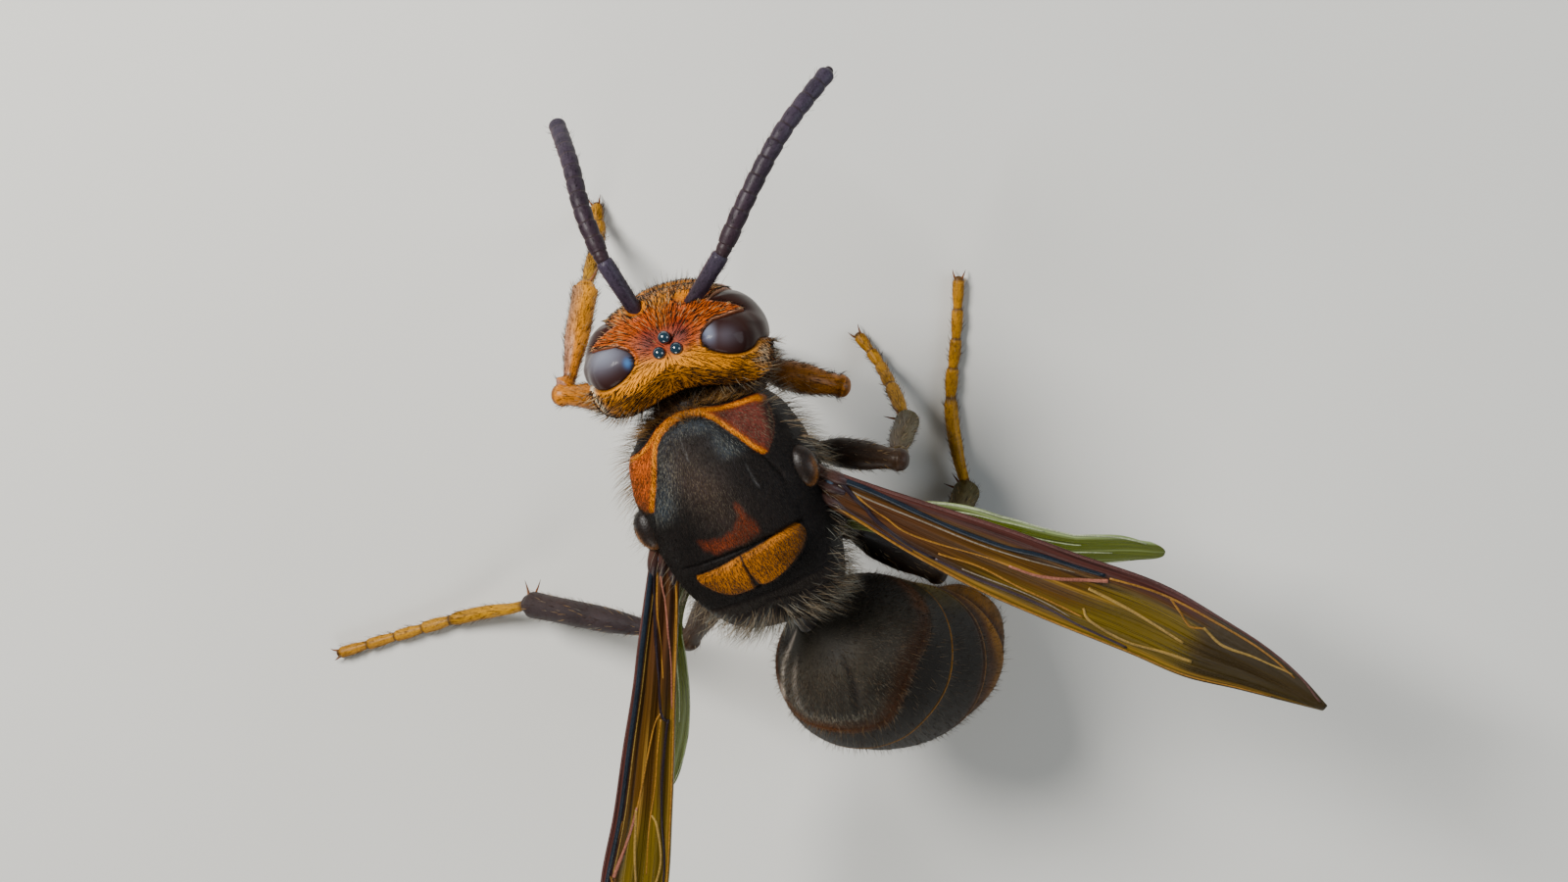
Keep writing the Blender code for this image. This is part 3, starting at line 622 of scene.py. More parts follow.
def build_eye(side, sign):
    distance = eye_distance(skull, sign)
    columns = skull.shape[1]
    kept = distance < EYE_MARGIN
    face = kept & np.roll(kept, -1, axis=1)
    face = face[:-1] & face[1:]
    depth = np.clip(-distance / 0.95, 0, 1)
    rear, up = eye_map(skull, sign)
    bulge = EYE_DOME + 0.10 * ease(20, 34, up)
    rise = bulge * np.sqrt(depth * (2 - depth)) - 0.08
    top = skull + skull_normals * rise[..., None]
    under = skull - skull_normals * EYE_BACK
    count = skull.shape[0] * columns
    rows, places = np.nonzero(face)
    right = (places + 1) % columns
    a, b = rows * columns + places, rows * columns + right
    quads = np.stack([a, b, b + columns, a + columns], axis=-1)
    faces = [*quads.tolist(), *(quads[:, ::-1] + count).tolist()]
    edges = np.concatenate([quads[:, [k, (k + 1) % 4]] for k in range(4)])
    key = np.sort(edges, axis=1) @ np.array([2 * count, 1])
    _, first, times = np.unique(key, return_index=True, return_counts=True)
    for p, q in edges[first[times == 1]]:
        faces.append([int(q), int(p), int(p + count), int(q + count)])
    used = np.unique(np.concatenate([np.array(f) for f in faces]))
    index = np.full(2 * count, -1)
    index[used] = np.arange(len(used))
    points = np.concatenate([top.reshape(-1, 3), under.reshape(-1, 3)])[used]
    # Where each eye's painted highlight and painted blue glint sit; they differ between the two
    # sides.
    if side == "left":
        painted_highlight = 0.95 * dome(np.hypot((rear + 5.5) / 8.5, (up - 38.5) / 13), 1.0)
        blue = 0.9 * dome(np.hypot((rear - 2.5) / 3.6, (up - 53) / 2.2), 1.0)
    else:
        painted_highlight = np.maximum(0.90 * dome(np.hypot((rear + 5) / 8.5, (up - 51.5) / 4.2), 1.0),
                           0.25 * dome(np.hypot((rear - 2) / 6, (up - 43) / 6), 1.0))
        blue = 0.15 * dome(np.hypot((rear + 2) / 6, (up - 53) / 3.5), 1.0)
    masks = {"painted_highlight": np.tile(painted_highlight.ravel(), 2)[used], "blue": np.tile(blue.ravel(), 2)[used]}
    faces = [[int(index[v]) for v in one] for one in faces]
    return add_mesh("eye_lens_" + side, on_head(points), eye_lens, masks, ["eye_" + side], faces)


for side, sign in SIDES:
    piece = build_eye(side, sign)
    print(piece.name, len(piece.data.polygons), "faces")

# %% [markdown]
# The three simple eyes are single clear lenses over a dark ground. Each is a ball sunk halfway into
# the crown.
# %% Simple eyes
def ball_grid(centre, radii, rows=24, columns=32):
    polar = np.linspace(0.03, math.pi - 0.03, rows)[:, None]
    angles = np.linspace(0, 2 * math.pi, columns, endpoint=False)
    shape = np.stack([np.sin(polar) * np.cos(angles), np.sin(polar) * np.sin(angles),
        np.cos(polar) + 0 * angles], -1)
    return np.array(centre) + shape * np.array(radii)


def build_ocellus_lens():
    material, tree, shader = new_material("ocellus_lens")
    blue = mixed(tree, noise(tree, 3 / MM, 2.0), (0.003, 0.010, 0.018), (0.010, 0.034, 0.055))
    dress(tree, shader, blue, Roughness=0.12, Coat_Weight=1.0, Coat_Roughness=0.03)
    return material


ocellus_lens = build_ocellus_lens()
for k, place in enumerate(OCELLI):
    ball = ball_grid(place, [OCELLUS_RADIUS] * 3)
    add_mesh("ocellus_%d" % (k + 1), on_head(ball), ocellus_lens)
print(len(OCELLI), "simple eyes")

# %% [markdown]
# The thorax is one smooth body whose plates are parted by grooves. The collar is the front
# plate: it runs round the rounded front of the back shield and down the sides. The back shield
# is dark with a short felt. Behind it sits a golden plate, split down its middle, and then the
# black rear.
# %% The thorax's shape
# y, top z, bottom z, half width
THORAX = [
    (-2.40, 12.60, 10.80, 0.95),
    (-2.15, 13.05, 10.20, 1.60),
    (-1.60, 13.60, 9.60, 2.30),
    (-0.60, 14.05, 9.00, 2.72),
    (0.60, 14.25, 8.75, 2.84),
    (1.80, 14.22, 8.70, 2.76),
    (2.60, 14.02, 8.80, 2.66),
    (3.40, 13.60, 9.00, 2.46),
    (4.20, 12.90, 9.10, 2.18),
    (4.90, 11.90, 9.20, 1.78),
    (5.30, 11.00, 9.30, 1.30),
    (5.50, 10.35, 9.45, 0.75),
]
# the back shield's front edge, from the hornet's right to its left, and its other edges, in plan
SHIELD_FRONT = [
    (-1.80, -0.32), (-1.59, -0.60), (-1.31, -1.08), (-1.03, -1.48), (-0.72, -1.85), (-0.43, -2.07),
    (-0.07, -2.19), (0.30, -2.20), (0.65, -2.12), (0.99, -1.96), (1.22, -1.72), (1.42, -1.24),
    (1.64, -0.74), (1.95, -0.21), (2.14, 0.10)]
SHIELD_REAR = [(2.26, 0.60), (2.28, 1.40), (2.15, 2.12), (0.0, 2.12), (-2.05, 2.05), (-2.12, 1.40),
    (-2.05, 0.50)]
COLLAR_FRONT = [
    (-2.24, -1.70), (-2.05, -1.84), (-1.87, -1.90), (-1.46, -1.98), (-1.01, -2.07), (-0.56, -2.20),
    (-0.22, -2.29), (0.29, -2.34), (0.69, -2.28), (1.06, -2.14), (1.40, -1.91), (1.74, -1.72),
    (2.19, -1.58), (2.50, -1.45)]
COLLAR_LEFT = [(2.85, -1.30), (2.90, -0.60), (2.80, -0.18), (2.42, 0.02)]
COLLAR_RIGHT = [(-1.95, -0.32), (-2.12, -0.50), (-2.26, -0.71), (-2.36, -0.95), (-2.36, -1.37)]
PLATE = [
    (1.74, 2.38), (1.24, 2.36), (0.59, 2.29), (0.00, 2.20), (-0.78, 2.12), (-1.45, 2.04),
    (-1.92, 2.07), (-2.02, 2.38), (-1.80, 2.81), (-1.36, 3.12), (-0.83, 3.37), (-0.36, 3.49),
    (-0.02, 3.48), (0.45, 3.49), (0.92, 3.44), (1.30, 3.20), (1.60, 2.85), (1.76, 2.52)]


def thorax_rings(rows, columns, cap=10):
    first, last = THORAX[0][0], THORAX[-1][0]
    places = np.linspace(first, last, rows)
    sizes = curve_value(THORAX, places)
    angles = np.linspace(0, 2 * math.pi, columns, endpoint=False)
    c, s = np.cos(angles), np.sin(angles)
    power = 2 / 2.25
    rings = []
    for y, (top, bottom, half_width) in zip(places, sizes):
        middle = bottom + 0.55 * (top - bottom)
        x = half_width * np.sign(c) * np.abs(c) ** power
        reach = np.where(s >= 0, top - middle, middle - bottom)
        rings.append(np.stack([x, 0 * x + y, middle + reach * np.sign(s) * np.abs(s) ** power], -1))
    rings = np.array(rings)
    for end, out in ((0, -1), (-1, 1)):
        ring = rings[end]
        centre = ring.mean(0)
        extra = [centre + (ring - centre) * k + np.array([0, out * 0.10 * (1 - k * k), 0])
                 for k in np.linspace(0.96, 0.03, cap)]
        rings = np.concatenate([np.array(extra)[::-1], rings] if end == 0
            else [rings, np.array(extra)])
    return rings


thorax = thorax_rings(300, 380)
thorax_normals = grid_normals(thorax)
print("thorax grid", thorax.shape[:2])


# %% [markdown]
# The plates' edges, the seams of the back shield and the split of the golden plate are shallow
# grooves and swellings, so the points move along their normals. The colours follow the same
# outlines: an orange collar with a golden edge, a black shield with a brown felt, a rust patch and
# the golden plate. Painted light and shade lie over them: the collar is painted lighter orange on
# its left and wine-dark on its right, a painted blue-grey sheen runs inside the shield's edge, pale
# painted sheen marks fine grooves of the shield, and painted shade darkens the right ends of the
# collar and the golden plate.
# %% The thorax's relief and markings
x, y, z = np.moveaxis(thorax, -1, 0)
split = shape_edge(x, y, SHIELD_FRONT + SHIELD_REAR)
upper = ease(10.0, 10.4, z)
seam = dome(split, 0.05) * upper * ease(0.95, 0.45, y)
side_seam = dome(y - 0.97, 0.04) * ease(-0.1, 0.1, split) * upper * ease(13.0, 12.6, z)
low_seam = dome(z - 10.2, 0.05) * ease(1.0, 0.8, y)
plate_edge = np.where(z > 12, shape_edge(x, y, resample(PLATE + PLATE[:1], 90)[:-1].tolist()), 1.0)
top_side = ease(11.8, 12.6, z)
lift = -0.09 * (seam + side_seam + low_seam)
lift += 0.05 * ease(0.0, -0.25, split) * top_side * ease(2.5, 2.2, y)
lift += 0.13 * ease(0.0, -0.22, plate_edge) - 0.08 * dome(plate_edge, 0.05)
notch_width = 0.035 + 0.09 * ease(2.7, 3.45, y)
notch = dome(x - 0.06, notch_width) * ease(0.03, -0.05, plate_edge) * ease(2.15, 2.3, y)
lift -= 0.10 * notch
side_lines = 0 * x
for sign, strength in ((1, 0.25), (-1, 1.0)):
    side_lines += (strength * dome(x - sign * (1.26 + 0.12 * y), 0.028) * ease(-0.4, -0.2, y)
        * ease(0.6, 0.4, y) * top_side)
middle_line = (dome(x - 0.36 + 0.05 * (y + 1.7), 0.024) * ease(-1.85, -1.7, y) * ease(-0.9, -1.1, y)
    * top_side)
lift -= 0.03 * side_lines + 0.02 * middle_line
lift -= 0.02 * dome(x, 0.03) * ease(-1.9, -1.5, y) * ease(1.2, 0.2, y) * top_side
lift -= 0.03 * ease(0.9, 0.0, plate_edge) * ease(1.8, 2.1, y) * ease(0.0, 0.1, plate_edge)
lift -= 0.09 * dome(y - 2.05, 0.06) * ease(2.1, 1.9, np.abs(x)) * top_side
lift -= 0.07 * dome(y - 3.78, 0.06) * top_side
lift -= 0.06 * dome(y - 4.05 - 0.25 * np.abs(x), 0.05) * ease(11.0, 11.6, z)
lift -= 0.10 * dome(x, 0.16) * ease(4.2, 4.6, y) * ease(10.3, 10.8, z)
lift -= 0.06 * dome(y - 2.25 - 0.25 * (z - 11), 0.05) * ease(12.2, 11.8, z) * ease(9.0, 9.4, z)
collar_edge = -shape_edge(x, y, COLLAR_FRONT + COLLAR_LEFT + SHIELD_FRONT[::-1] + COLLAR_RIGHT)
ridge = line_distance(x, y, COLLAR_FRONT)
patch = ease(-0.02, 0.04, collar_edge) * ease(11.8, 12.05, z)
lift += 0.04 * dome(ridge, 0.08) * ease(11.9, 12.2, z) + 0.03 * ease(0.0, 0.15, collar_edge)
thorax_points = thorax + thorax_normals * lift[..., None]
RUST_MARK = [
    (1.05, 1.30), (0.45, 1.44), (-0.10, 1.36), (-0.38, 1.10), (-0.50, 0.62), (-0.72, 1.10),
    (-0.86, 1.74), (-0.2, 1.93), (0.68, 1.92), (0.98, 1.66)]
uneven = 0.05 * np.sin(9 * x + 4 * y) * np.sin(7 * y - 5 * x)
rust_mark = ease(0.10, -0.16, shape_edge(x, y, RUST_MARK) + uneven) * top_side
# Painted light: the collar's orange is stronger on its left, where light falls.
painted_lit_left = ease(-0.2, 0.6, x) * (0.45 + 0.4 * ease(0.2, -1.2, y))
# Painted blue-grey sheen: a band just inside the back shield's edge, on its left side, its right
# front and its front.
painted_sheen_band = dome(split + 0.42, 0.40) * np.maximum(ease(0.7, 0.1, y) * ease(0.2, 0.9, x),
    ease(-0.5, -0.9, y) * ease(-0.3, -0.8, x))
painted_sheen_band = np.maximum(painted_sheen_band, dome(split + 0.30, 0.25) * ease(-1.4, -1.7, y)) * top_side
middle_pile = (dome(np.hypot((x - 0.28 + 0.30 * y) / 0.80, (y + 0.25) / 1.75), 0.95)
    * ease(0.0, -0.3, split) * top_side)
thorax_masks = {
    "blue_sheen_painted": 0.9 * painted_sheen_band,
    "felt": np.clip(0.9 * middle_pile + 0.3 * ease(3.6, 4.0, y), 0, 1),
    "rust": np.clip(np.maximum(patch, 0.75 * rust_mark), 0, 1),
    # wine: painted shade on the collar's right half.
    "wine": 0.85 * patch * ease(0.12, 0.28, split) * ease(0.06, 0.22, ridge) * ease(0.3, -0.2, x),
    "orange": np.clip(patch * np.maximum.reduce([ease(0.18, 0.06, split), ease(0.14, 0.05, ridge),
        0.8 * painted_lit_left]), 0, 1),
    "golden": np.clip(patch * np.maximum(0.85 * dome(split - 0.06, 0.05),
        0.75 * dome(ridge - 0.06, 0.05)), 0, 1),
    "amber": np.clip(ease(0.0, -0.05, plate_edge), 0, 1),
    # line: pale painted sheen along fine grooves of the back shield, strongest on its right.
    "line": 0.7 * np.maximum(side_lines, 0.8 * middle_line),
    # dark: along the golden plate's split and round its edge, and painted shade on the collar's
    # right end and the golden plate's right side.
    "dark": np.clip(np.maximum.reduce([
        1.3 * notch, dome(plate_edge - 0.04, 0.05), patch * ease(-2.05, -2.32, x),
        0.75 * ease(-1.1, -2.0, x) * ease(0.0, -0.1, plate_edge)]),
        0, 1),
}
add_mesh("thorax_skin", thorax_points, thorax_shell, thorax_masks,
         ["pronotum", "mesothorax", "scutellum", "propodeum"])
print("thorax shell:", thorax.shape[0] * thorax.shape[1], "points")

# %% [markdown]
# The gaster bends down behind the waist. Each ring plate slides under the one before it, so its
# rear edge stands proud as a lip and the next plate starts a step lower. The plates' rear edges
# lie further back on the upper side. All this is one grid, with rows set close at each lip.
# %% The gaster's shape
GASTER_WAY = [
    (0.00, 5.85, 9.60),
    (-0.55, 7.50, 8.10),
    (-0.65, 8.75, 6.10),
    (-1.30, 9.60, 4.20),
    (-2.00, 9.90, 2.70),
    (-2.55, 9.60, 1.50),
    (-2.80, 8.90, 0.25),
]
# distance along it, half width, reach to the back plates, reach to the belly plates
GASTER = [
    (0.00, 0.42, 0.42, 0.40),
    (0.35, 0.92, 0.95, 0.80),
    (0.80, 1.62, 1.75, 1.50),
    (1.30, 2.08, 2.15, 1.95),
    (2.30, 2.54, 2.42, 2.30),
    (3.50, 2.87, 2.65, 2.52),
    (4.75, 2.95, 2.68, 2.55),
    (7.00, 2.78, 2.52, 2.40),
    (8.75, 2.30, 2.08, 2.00),
    (10.10, 1.60, 1.45, 1.40),
    (10.90, 0.95, 0.90, 0.85),
    (11.33, 0.42, 0.42, 0.40),
]
# angle round the gaster (0 its left side, 90 its back, 180 its right side), then where each of
# the first three plates ends there; the bend pushes them together on the right
PLATE_LINES = [
    (-90, 2.80, 3.90, 6.20),
    (0, 3.00, 4.20, 6.90),
    (30, 3.10, 4.15, 7.20),
    (50, 2.90, 4.30, 7.30),
    (75, 3.00, 4.43, 7.30),
    (91, 3.05, 4.43, 7.20),
    (109, 2.65, 4.10, 7.10),
    (138, 2.35, 3.83, 7.10),
    (163, 2.55, 3.65, 7.20),
    (180, 2.70, 3.70, 7.30),
    (220, 2.75, 3.85, 6.80),
    (270, 2.80, 3.90, 6.20),
]
LATER_ENDS = [8.70, 10.10, 11.30]
LIP = 0.07


def way_frames(points, side):
    """Centre, side and up vectors along a way, with no twist between them."""
    ahead = unit(np.gradient(points, axis=0))
    sides, ups = [], []
    side = np.array(side, float)
    for way in ahead:
        side = unit(side - way * side.dot(way))
        sides.append(side)
        ups.append(np.cross(side, way))
    return points, np.array(sides), np.array(ups)


way_distance = np.r_[0, np.cumsum(np.linalg.norm(np.diff(GASTER_WAY, axis=0), axis=1))]
fine_places = np.linspace(0, way_distance[-1], 700)
fine_way = curve_value(np.c_[way_distance, GASTER_WAY], fine_places)
way_centres, way_sides, way_ups = way_frames(fine_way, (1, 0, 0))


def gaster_points(distance, angles):
    """Points on the gaster's smooth surface at a distance along its way and an angle round it."""
    index = np.clip(distance / way_distance[-1] * (len(fine_places) - 1), 0,
        len(fine_places) - 1.001)
    k, s = index.astype(int), (index % 1)[..., None]
    blend = lambda rows: rows[k] * (1 - s) + rows[k + 1] * s
    sizes = curve_value(GASTER, distance.ravel()).reshape(*distance.shape, 3)
    c, t = np.cos(angles), np.sin(angles)
    power = 2 / 2.1
    across = sizes[..., 0] * np.sign(c) * np.abs(c) ** power
    reach = np.where(t >= 0, sizes[..., 1], sizes[..., 2]) * np.sign(t) * np.abs(t) ** power
    return (blend(way_centres) + blend(way_sides) * across[..., None]
        + blend(way_ups) * reach[..., None])


steps = np.r_[np.linspace(0, 0.04, 4), np.linspace(0.06, 0.90, 26), np.linspace(0.92, 1.0, 9)]
angles = np.linspace(0, 2 * math.pi, 300, endpoint=False)
distances, plate_shares, plates = [], [], []
start = np.zeros_like(angles)
lines = curve_value(PLATE_LINES, (np.degrees(angles) + 90) % 360 - 90).T
lines = [*lines, *(end + 0.15 * np.sin(angles) for end in LATER_ENDS)]
for k, finish_line in enumerate(lines):
    for share in steps:
        distances.append(start + (finish_line - start) * share)
        plate_shares.append(share)
        plates.append(k)
    start = finish_line
distances = np.array(distances)
plate_shares, plates = np.array(plate_shares)[:, None], np.array(plates)[:, None]
angle_grid = np.broadcast_to(angles, distances.shape)
gaster = gaster_points(distances, angle_grid)
gaster_normals = grid_normals(gaster)
lip = LIP * (ease(0.0, 1.0, plate_shares) - ease(0.985, 1.0, plate_shares) * 1.6
    - 0.35 * ease(0.03, 0.0, plate_shares))
lip = np.where(plates == 5, 0.0, lip) * ease(0.2, 1.2, distances)
groove = -0.03 * dome(plate_shares - 0.90, 0.015) * (plates < 5)
furrow_line = np.abs(angle_grid - math.radians(101) + 0.34 * (distances - 1.15))
furrow = (-0.06 * dome(furrow_line * 2.4, 0.16) * (plates == 0) * ease(0.5, 0.9, distances)
    * ease(2.2, 1.6, distances))
gaster_shell_points = gaster + gaster_normals * (lip + groove + furrow)[..., None]
gaster_shell_points[..., 2] = np.maximum(gaster_shell_points[..., 2], 0.0)
print("gaster grid", gaster.shape[:2])

# %% [markdown]
# Each plate of the gaster overlaps the next and ends in a thin bright edge. The first plate
# has a furrow and a warm band, the fourth is mostly golden and the last ones are dull gold.
# The masks are worked out from the distance to the plate ends and the angle round the body,
# so that relief, colour and hair agree.
# %% The gaster's markings
upper_side = ease(-0.35, 0.2, np.sin(angle_grid))
right_side = ease(0.3, -0.5, np.sin(angle_grid - 0.35)) * ease(0.2, -0.4, np.cos(angle_grid))
before_end = (np.where(plates == 0, lines[0] - distances, 0)
    + np.where(plates == 1, lines[1] - distances, 0))
before_end = np.where(plates == 2, lines[2] - distances, before_end)
golden = np.where(plates == 1, 0.9 * dome(before_end - 0.07, 0.045), 0.0 * distances)
golden = np.where(plates == 2, 0.7 * dome(before_end - 0.08, 0.07), golden)
golden = np.where(plates == 3, 0.60 * ease(0.35, 0.80, plate_shares), golden)
golden = np.where(plates == 4, 0.5 * ease(0.25, 0.7, plate_shares), golden)
golden = np.where(plates == 5, 0.5, golden)
from_back = np.degrees(np.arctan2(np.sin(angle_grid), np.cos(angle_grid)))
warm = np.where(plates == 0, 0.9 * dome(before_end - 0.28, 0.32)
    * (0.40 + 0.60 * ease(115, 70, from_back)), 0.0 * distances)
warm = np.where(plates == 2, 0.35 * dome(before_end - 0.2, 0.3), warm)
warm = np.where((plates == 3) | (plates == 4), 0.5 * ease(0.02, 0.4, plate_shares), warm)
warm = np.where(plates == 5, 0.8, warm)
gaster_masks = {
    "felt": np.where(plates == 0, 1.0 * ease(0.35, 0.6, before_end), 0.15) * upper_side,
    "warm": warm,
    "olive": np.where(plates == 1, 0.35, np.where(plates == 2, 0.75, 0.0)) * right_side
        * ease(0.1, 0.3, plate_shares),
    "golden": golden,
    # Painted highlight: a pale rim line down the first plate's left edge, and a fainter line beside
    # it.
    "painted_rim_highlight": np.where(plates == 0, np.maximum(
        1.0 * dome(from_back - 5, 5.0) * ease(0.0, 0.2, distances),
        0.28 * dome(from_back - 32, 4.5) * ease(0.4, 0.7, distances) * ease(2.2, 1.8, distances))
        * ease(0.05, 0.3, before_end), 0),
    "dark": np.where(plates == 0, 0.9 * dome(furrow_line * 2.4, 0.12) * ease(0.5, 0.9, distances)
        * ease(2.2, 1.8, distances), 0.0),
}
add_mesh("gaster_skin", gaster_shell_points, gaster_shell, gaster_masks,
         ["gaster_%d" % (k + 1) for k in range(6)])
print("gaster shell:", gaster.shape[0] * gaster.shape[1], "points")

# %% [markdown]
# The folded wings come next. A hornet folds its forewing lengthwise like a fan, so a narrow
# blade shows: the stout front edge, then pleats with veins along their crests. The membrane is
# far thinner than the solid that stands for it, so it lies near that solid's upper face. It is
# one sheet bent in a hairpin, as the real fold is: the upper layer, then the rear part below.
# %% Wing sizes
FOREWINGS = {
    "left": ((2.60, 1.50, 12.35), (11.05, 16.60, 9.20)),
    "right": ((-2.60, 1.50, 12.35), (-13.67, 14.83, 9.00)),
}
HINDWINGS = {
    "left": ((2.45, 2.45, 11.30), (7.00, 10.00, 8.50)),
    "right": ((-2.45, 2.45, 11.30), (-10.60, 8.90, 8.40)),
}
# share of the span, place of the leading edge across it, width of the folded wing there
FOREWING_OUTLINES = {
    "left": [
        (0.00, -0.38, 0.85), (0.10, -0.50, 1.05), (0.19, -0.60, 1.20), (0.26, -0.66, 1.30),
        (0.38, -0.85, 1.58), (0.52, -1.04, 1.82), (0.66, -1.34, 2.12), (0.86, -1.24, 1.60),
        (0.96, -0.70, 0.88), (1.00, -0.25, 0.25)],
    "right": [
        (0.00, -0.72, 1.10), (0.10, -0.92, 1.38), (0.20, -1.15, 1.80), (0.34, -1.45, 2.26),
        (0.45, -1.59, 2.38), (0.64, -1.80, 2.50), (0.74, -1.58, 2.28), (0.84, -1.27, 1.68),
        (0.93, -0.80, 0.98), (1.00, -0.25, 0.25)],
}
HINDWING_OUTLINES = {
    "left": [
        (0.00, -0.30, 0.70), (0.20, -0.85, 0.92), (0.36, -1.00, 1.33), (0.48, -1.04, 1.55),
        (0.62, -1.00, 1.55), (0.80, -0.95, 1.38), (0.92, -0.80, 1.05), (1.00, -0.45, 0.45)],
    "right": [
        (0.00, -0.30, 0.80), (0.20, -0.88, 1.30), (0.36, -1.06, 1.60), (0.48, -1.04, 1.60),
        (0.62, -0.84, 1.30), (0.80, -0.92, 1.00), (0.92, -1.04, 0.88), (1.00, -1.00, 0.64)],
}
WING_ARCH, WING_CAMBER, WING_LIFT = 0.5, 0.16, 0.12
PLEATS = [(0.10, 0.05), (0.30, -0.06), (0.46, 0.05), (0.62, -0.06), (0.78, 0.05), (0.92, -0.04)]


def scallops(u):
    """Soft waves of the hindwing's hairy rear edge."""
    return 0.035 * (np.abs(np.sin(u * 13.0)) - 0.5) * ease(0.1, 0.3, u)


def wing_chart(root, tip, outline, pleated):
    """A function from (u, v) on the folded wing to points: u to the tip, v to the rear."""
    root, tip = np.array(root), np.array(tip)
    span = tip - root
    along = unit(span)
    sign = 1 if root[0] > 0 else -1
    inward = unit(np.array([-sign * along[1], sign * along[0], 0]))
    up = np.cross(along, inward)
    up = up if up[2] > 0 else -up

    def place(u, v, drop=0.0):
        u, v = np.asarray(u, float), np.asarray(v, float)
        lead, width = (curve_value(outline, u.ravel())[:, k].reshape(u.shape) for k in (0, 1))
        if not pleated:
            lead = lead - 2.0 * scallops(u)
            width = width + 2.5 * scallops(u)
            u = u - 0.055 * np.abs(2 * v - 1) ** 2.6 * ease(0.6, 1.0, u)
        rise = WING_ARCH * np.sin(math.pi * u) - WING_CAMBER * v * v + WING_LIFT - drop
        if pleated:
            for crest, height in PLEATS:
                rise = (rise + 1.4 * height * dome(v - crest, 0.055) * ease(0.0, 0.12, u)
                    * ease(1.0, 0.8, u))
        across = lead + width * v
        return root + u[..., None] * span + across[..., None] * inward + rise[..., None] * up

    return place


print("wing spans:", [round(float(np.linalg.norm(np.subtract(*ends))), 1)
    for ends in FOREWINGS.values()], "mm")

# %% [markdown]
# Wing membrane: clear amber chitin, smoked brown at the tip and stained wine red along the
# front edge, with fine lengthwise streaks. Clearness comes from the alpha of the same shader,
# so that a viewer without refraction shows it too. Veins are solid and darker or golden.
# %% Wing materials
def membrane_material(name, base, layers, clear):
    """Wing skin; the mask "open" says where it is as clear as the clear value says."""
    material, tree, shader = new_material(name)
    chart = add_node(tree, "ShaderNodeCombineXYZ", X=mask_of(tree, "along"),
        Y=mask_of(tree, "across"))
    streaks = noise(tree, 1.0, 5.0, stretched(tree, chart.outputs[0], (5.0, 60.0, 1.0)))
    colour = toned(tree, layered(tree, base, layers), streaks, 0.45, 1.7, 0.32, 0.68)
    alpha = add_node(tree, "ShaderNodeMapRange", Value=mask_of(tree, "open"), To_Min=0.97,
        To_Max=clear)
    tiny_hairs = reckoned(tree, "MULTIPLY", pits(tree, 1 / (0.09 * MM)), 0.5)
    height = reckoned(tree, "ADD", reckoned(tree, "MULTIPLY", streaks, 1.5), tiny_hairs)
    dress(tree, shader, colour, height, 0.45, 0.03, Alpha=alpha.outputs[0], Roughness=0.34,
          Specular_IOR_Level=0.10, Coat_Weight=0.02, Coat_Roughness=0.2)
    return material


def vein_material(name, colour, rough):
    material, tree, shader = new_material(name)
    surface = use_group(tree, grain, Size=0.06, Mottle=0.6)
    dress(tree, shader, toned(tree, colour, surface["Tone"], 0.6, 1.35), surface["Height"],
          Roughness=rough, Specular_IOR_Level=0.22, Coat_Weight=0.06)
    return material


# In both membranes the ridge colour is a painted highlight.
amber_wing = membrane_material(
    "amber_wing", (0.062, 0.028, 0.004),
    [("wine", (0.046, 0.015, 0.012)), ("olive", (0.095, 0.062, 0.003)),
     ("smoke", (0.030, 0.020, 0.006)), ("deep", (0.014, 0.008, 0.006)),
     ("ridge", (0.26, 0.14, 0.018))], 0.86)
clear_wing = membrane_material(
    "clear_wing", (0.072, 0.092, 0.002),
    [("ridge", (0.30, 0.38, 0.17)), ("smoke", (0.052, 0.056, 0.003))], 0.84)
VEIN_COLOURS = {
    "wine": (0.075, 0.030, 0.026), "violet": (0.030, 0.018, 0.024), "blue": (0.010, 0.015, 0.023),
    "gold": (0.23, 0.105, 0.012), "tan": (0.25, 0.155, 0.034), "ash": (0.16, 0.135, 0.100),
    "pale": (0.30, 0.34, 0.20), "dark": (0.014, 0.008, 0.012), "pink": (0.23, 0.085, 0.055)}
vein_looks = {look: vein_material("vein_" + look, colour, 0.28 if look == "blue" else 0.38)
              for look, colour in VEIN_COLOURS.items()}
print("wing materials:", amber_wing.name, clear_wing.name, len(vein_looks), "vein looks")

# %% [markdown]
# A forewing at rest folds lengthwise like a fan, so its skin isn't flat: it has pleats along the
# veins. Each wing is one closed thin shell over the chart of its outline. The pleats are real waves
# in it, and so is the scalloped rear edge of the hindwing. Masks give the smoky front, the clear
# cells and the darker tip, and a painted highlight on a forewing pleat crest and along the
# hindwing's rims and folds.
# %% Wing membranes
MEMBRANE = 0.045                        # thickness
UNDER_GAP = 0.16                        # from the upper layer of a forewing to the folded one
FOLD_BACK = 0.35                        # share of the width to which the folded layer reaches


